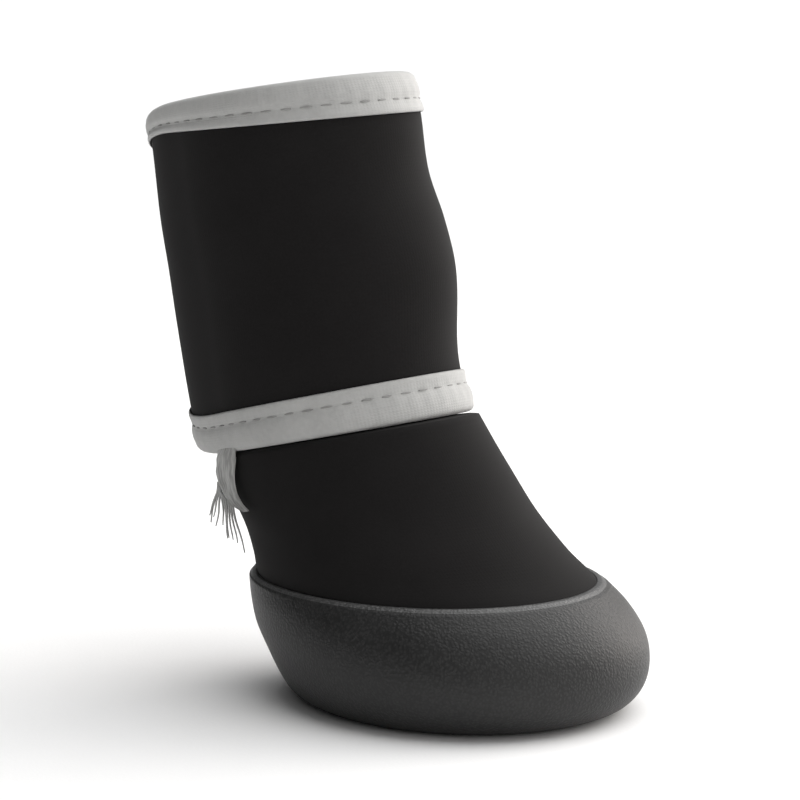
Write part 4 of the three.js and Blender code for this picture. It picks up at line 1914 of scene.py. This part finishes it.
@dataclass(frozen=True)
class Lamp:
    """A soft light, placed from the boot's middle as the camera sees it.

    Args:
        name: the light's name.
        right: how far it is to the camera's right, in millimetres.
        toward: how far towards the camera.
        up: how far up.
        power: its watts, or for a sun its power on a square metre that faces it.
        size: the side of a square light, in metres, or 0 for a sun.
        spread: how wide a sun looks from the boot, in degrees.
    """

    name: str
    right: float
    toward: float
    up: float
    power: float
    size: float = 0.0
    spread: float = 0.0

    def make(self) -> bpy.types.Object:
        """Makes the light: a sun that reaches the whole floor alike, or a warm square.

        Returns:
            The light's object, not yet in place.
        """
        lamp = bpy.data.lights.new(self.name, "AREA" if self.size else "SUN")
        lamp.energy = self.power
        if self.size:
            lamp.size = self.size
            lamp.color = linear("#fff8f2")[:3]
        else:
            lamp.angle = math.radians(self.spread)
        return bpy.data.objects.new(self.name, lamp)


@dataclass
class Studio:
    """A plain pale floor, soft lights, and the camera at the photograph's angle.

    Args:
        azimuth: the way that the camera stands, in degrees.
        distance: its level distance.
        height: its height.
        lens: its focal length, in millimetres on a 36 mm sensor.
        aim_side: how far to the right it aims.
        aim_height: how high it aims.
        middle: the boot's middle, which the lights look at.
        floor_reach: half the floor's side, in metres.
        lamps: the lights.
    """

    azimuth: float = 40.0
    distance: float = 560.0
    height: float = 140.0
    lens: float = 149.0
    aim_side: float = -8.9
    aim_height: float = 52.2
    middle: tuple[float, float, float] = (-10.0, 0.0, 50.0)
    floor_reach: float = 20.0
    lamps: tuple[Lamp, ...] = (
        Lamp("window", 350, -300, 1000, 2.4, spread=80),
        Lamp("key", 560, -330, 160, 3.4, size=0.6),
        Lamp("front", 520, 600, 300, 0.5, size=0.5),
    )

    def directions(self) -> tuple[np.ndarray, np.ndarray, np.ndarray]:
        """The photograph's own directions.

        Returns:
            The camera's right and the way from the boot to the camera, both level, and up.
        """
        a = math.radians(self.azimuth)
        right = np.array([math.cos(a), math.sin(a), 0.0])
        toward = np.array([math.sin(a), -math.cos(a), 0.0])
        return right, toward, np.array([0.0, 0.0, 1.0])

    def look(self, thing: bpy.types.Object, at: np.ndarray, target: np.ndarray) -> None:
        """Puts a camera or a light at a place, looking at a target.

        Args:
            thing: the camera or the light.
            at: its place, in millimetres.
            target: what it looks at, in millimetres.
        """
        thing.location = Vector((at * MM).tolist())
        way = Vector(((target - at) * MM).tolist())
        thing.rotation_euler = way.to_track_quat("-Z", "Y").to_euler()
        bpy.context.collection.objects.link(thing)

    def world(self, bright: np.ndarray) -> None:
        """A white room that is brighter towards one side, as a room with a window is.

        Args:
            bright: the way to its bright side.
        """
        world = bpy.data.worlds.new("studio")
        world.use_nodes = True
        tree = world.node_tree
        way = node(tree, "ShaderNodeTexCoord").outputs["Generated"]
        towards = node(
            tree,
            "ShaderNodeVectorMath",
            {0: way, 1: tuple((bright / np.linalg.norm(bright)).tolist())},
            operation="DOT_PRODUCT",
        )
        dark_from, most = -0.6, 0.85
        strength = node(
            tree,
            "ShaderNodeMapRange",
            {0: towards.outputs["Value"], 1: dark_from, 2: 1.0, 3: 0.0, 4: most},
        )
        tree.links.new(strength.outputs[0], tree.nodes["Background"].inputs[1])
        tree.nodes["Background"].inputs[0].default_value = (1.0, 1.0, 1.0, 1.0)
        bpy.context.scene.world = world

    def build(self) -> None:
        """Makes the floor, the lights, the world and the camera."""
        right, toward, up = self.directions()
        mesh = bpy.data.meshes.new("floor")
        r = self.floor_reach
        mesh.from_pydata([(-r, -r, 0), (r, -r, 0), (r, r, 0), (-r, r, 0)], [], [(0, 1, 2, 3)])
        floor = bpy.data.objects.new("floor", mesh)
        bpy.context.collection.objects.link(floor)
        # Matt painted board gives a floor that is as white as the photograph's.
        mesh.materials.append(Finish("pale_floor", "#f7f7f7", "#fcfcfc", 0.85, 0.1).build())
        centre = np.array(self.middle)
        for lamp in self.lamps:
            at = centre + right * lamp.right + toward * lamp.toward + up * lamp.up
            self.look(lamp.make(), at, centre)
        self.world(right + up * 0.25)
        bpy.context.scene.view_settings.view_transform = "Standard"
        camera = bpy.data.cameras.new("camera")
        camera.lens = self.lens
        camera.sensor_width = 36.0
        camera.clip_start = 0.01
        camera.clip_end = 100.0
        eye = bpy.data.objects.new("camera", camera)
        at = toward * self.distance + up * self.height
        self.look(eye, at, right * self.aim_side + up * self.aim_height)
        bpy.context.scene.camera = eye


def main() -> None:
    """Builds the boot and its studio."""
    logging.basicConfig(level=logging.INFO, format="%(message)s")
    last = Last()
    finishes = Finishes()
    sewing = StitchRow()
    Studio().build()
    CupSole(last, finishes).build()
    FootUpper(last, finishes).build()
    WrapShaft(last, finishes, sewing).build()
    ClosingStrap(last, finishes, sewing).build()


if __name__ == "__main__":
    main()
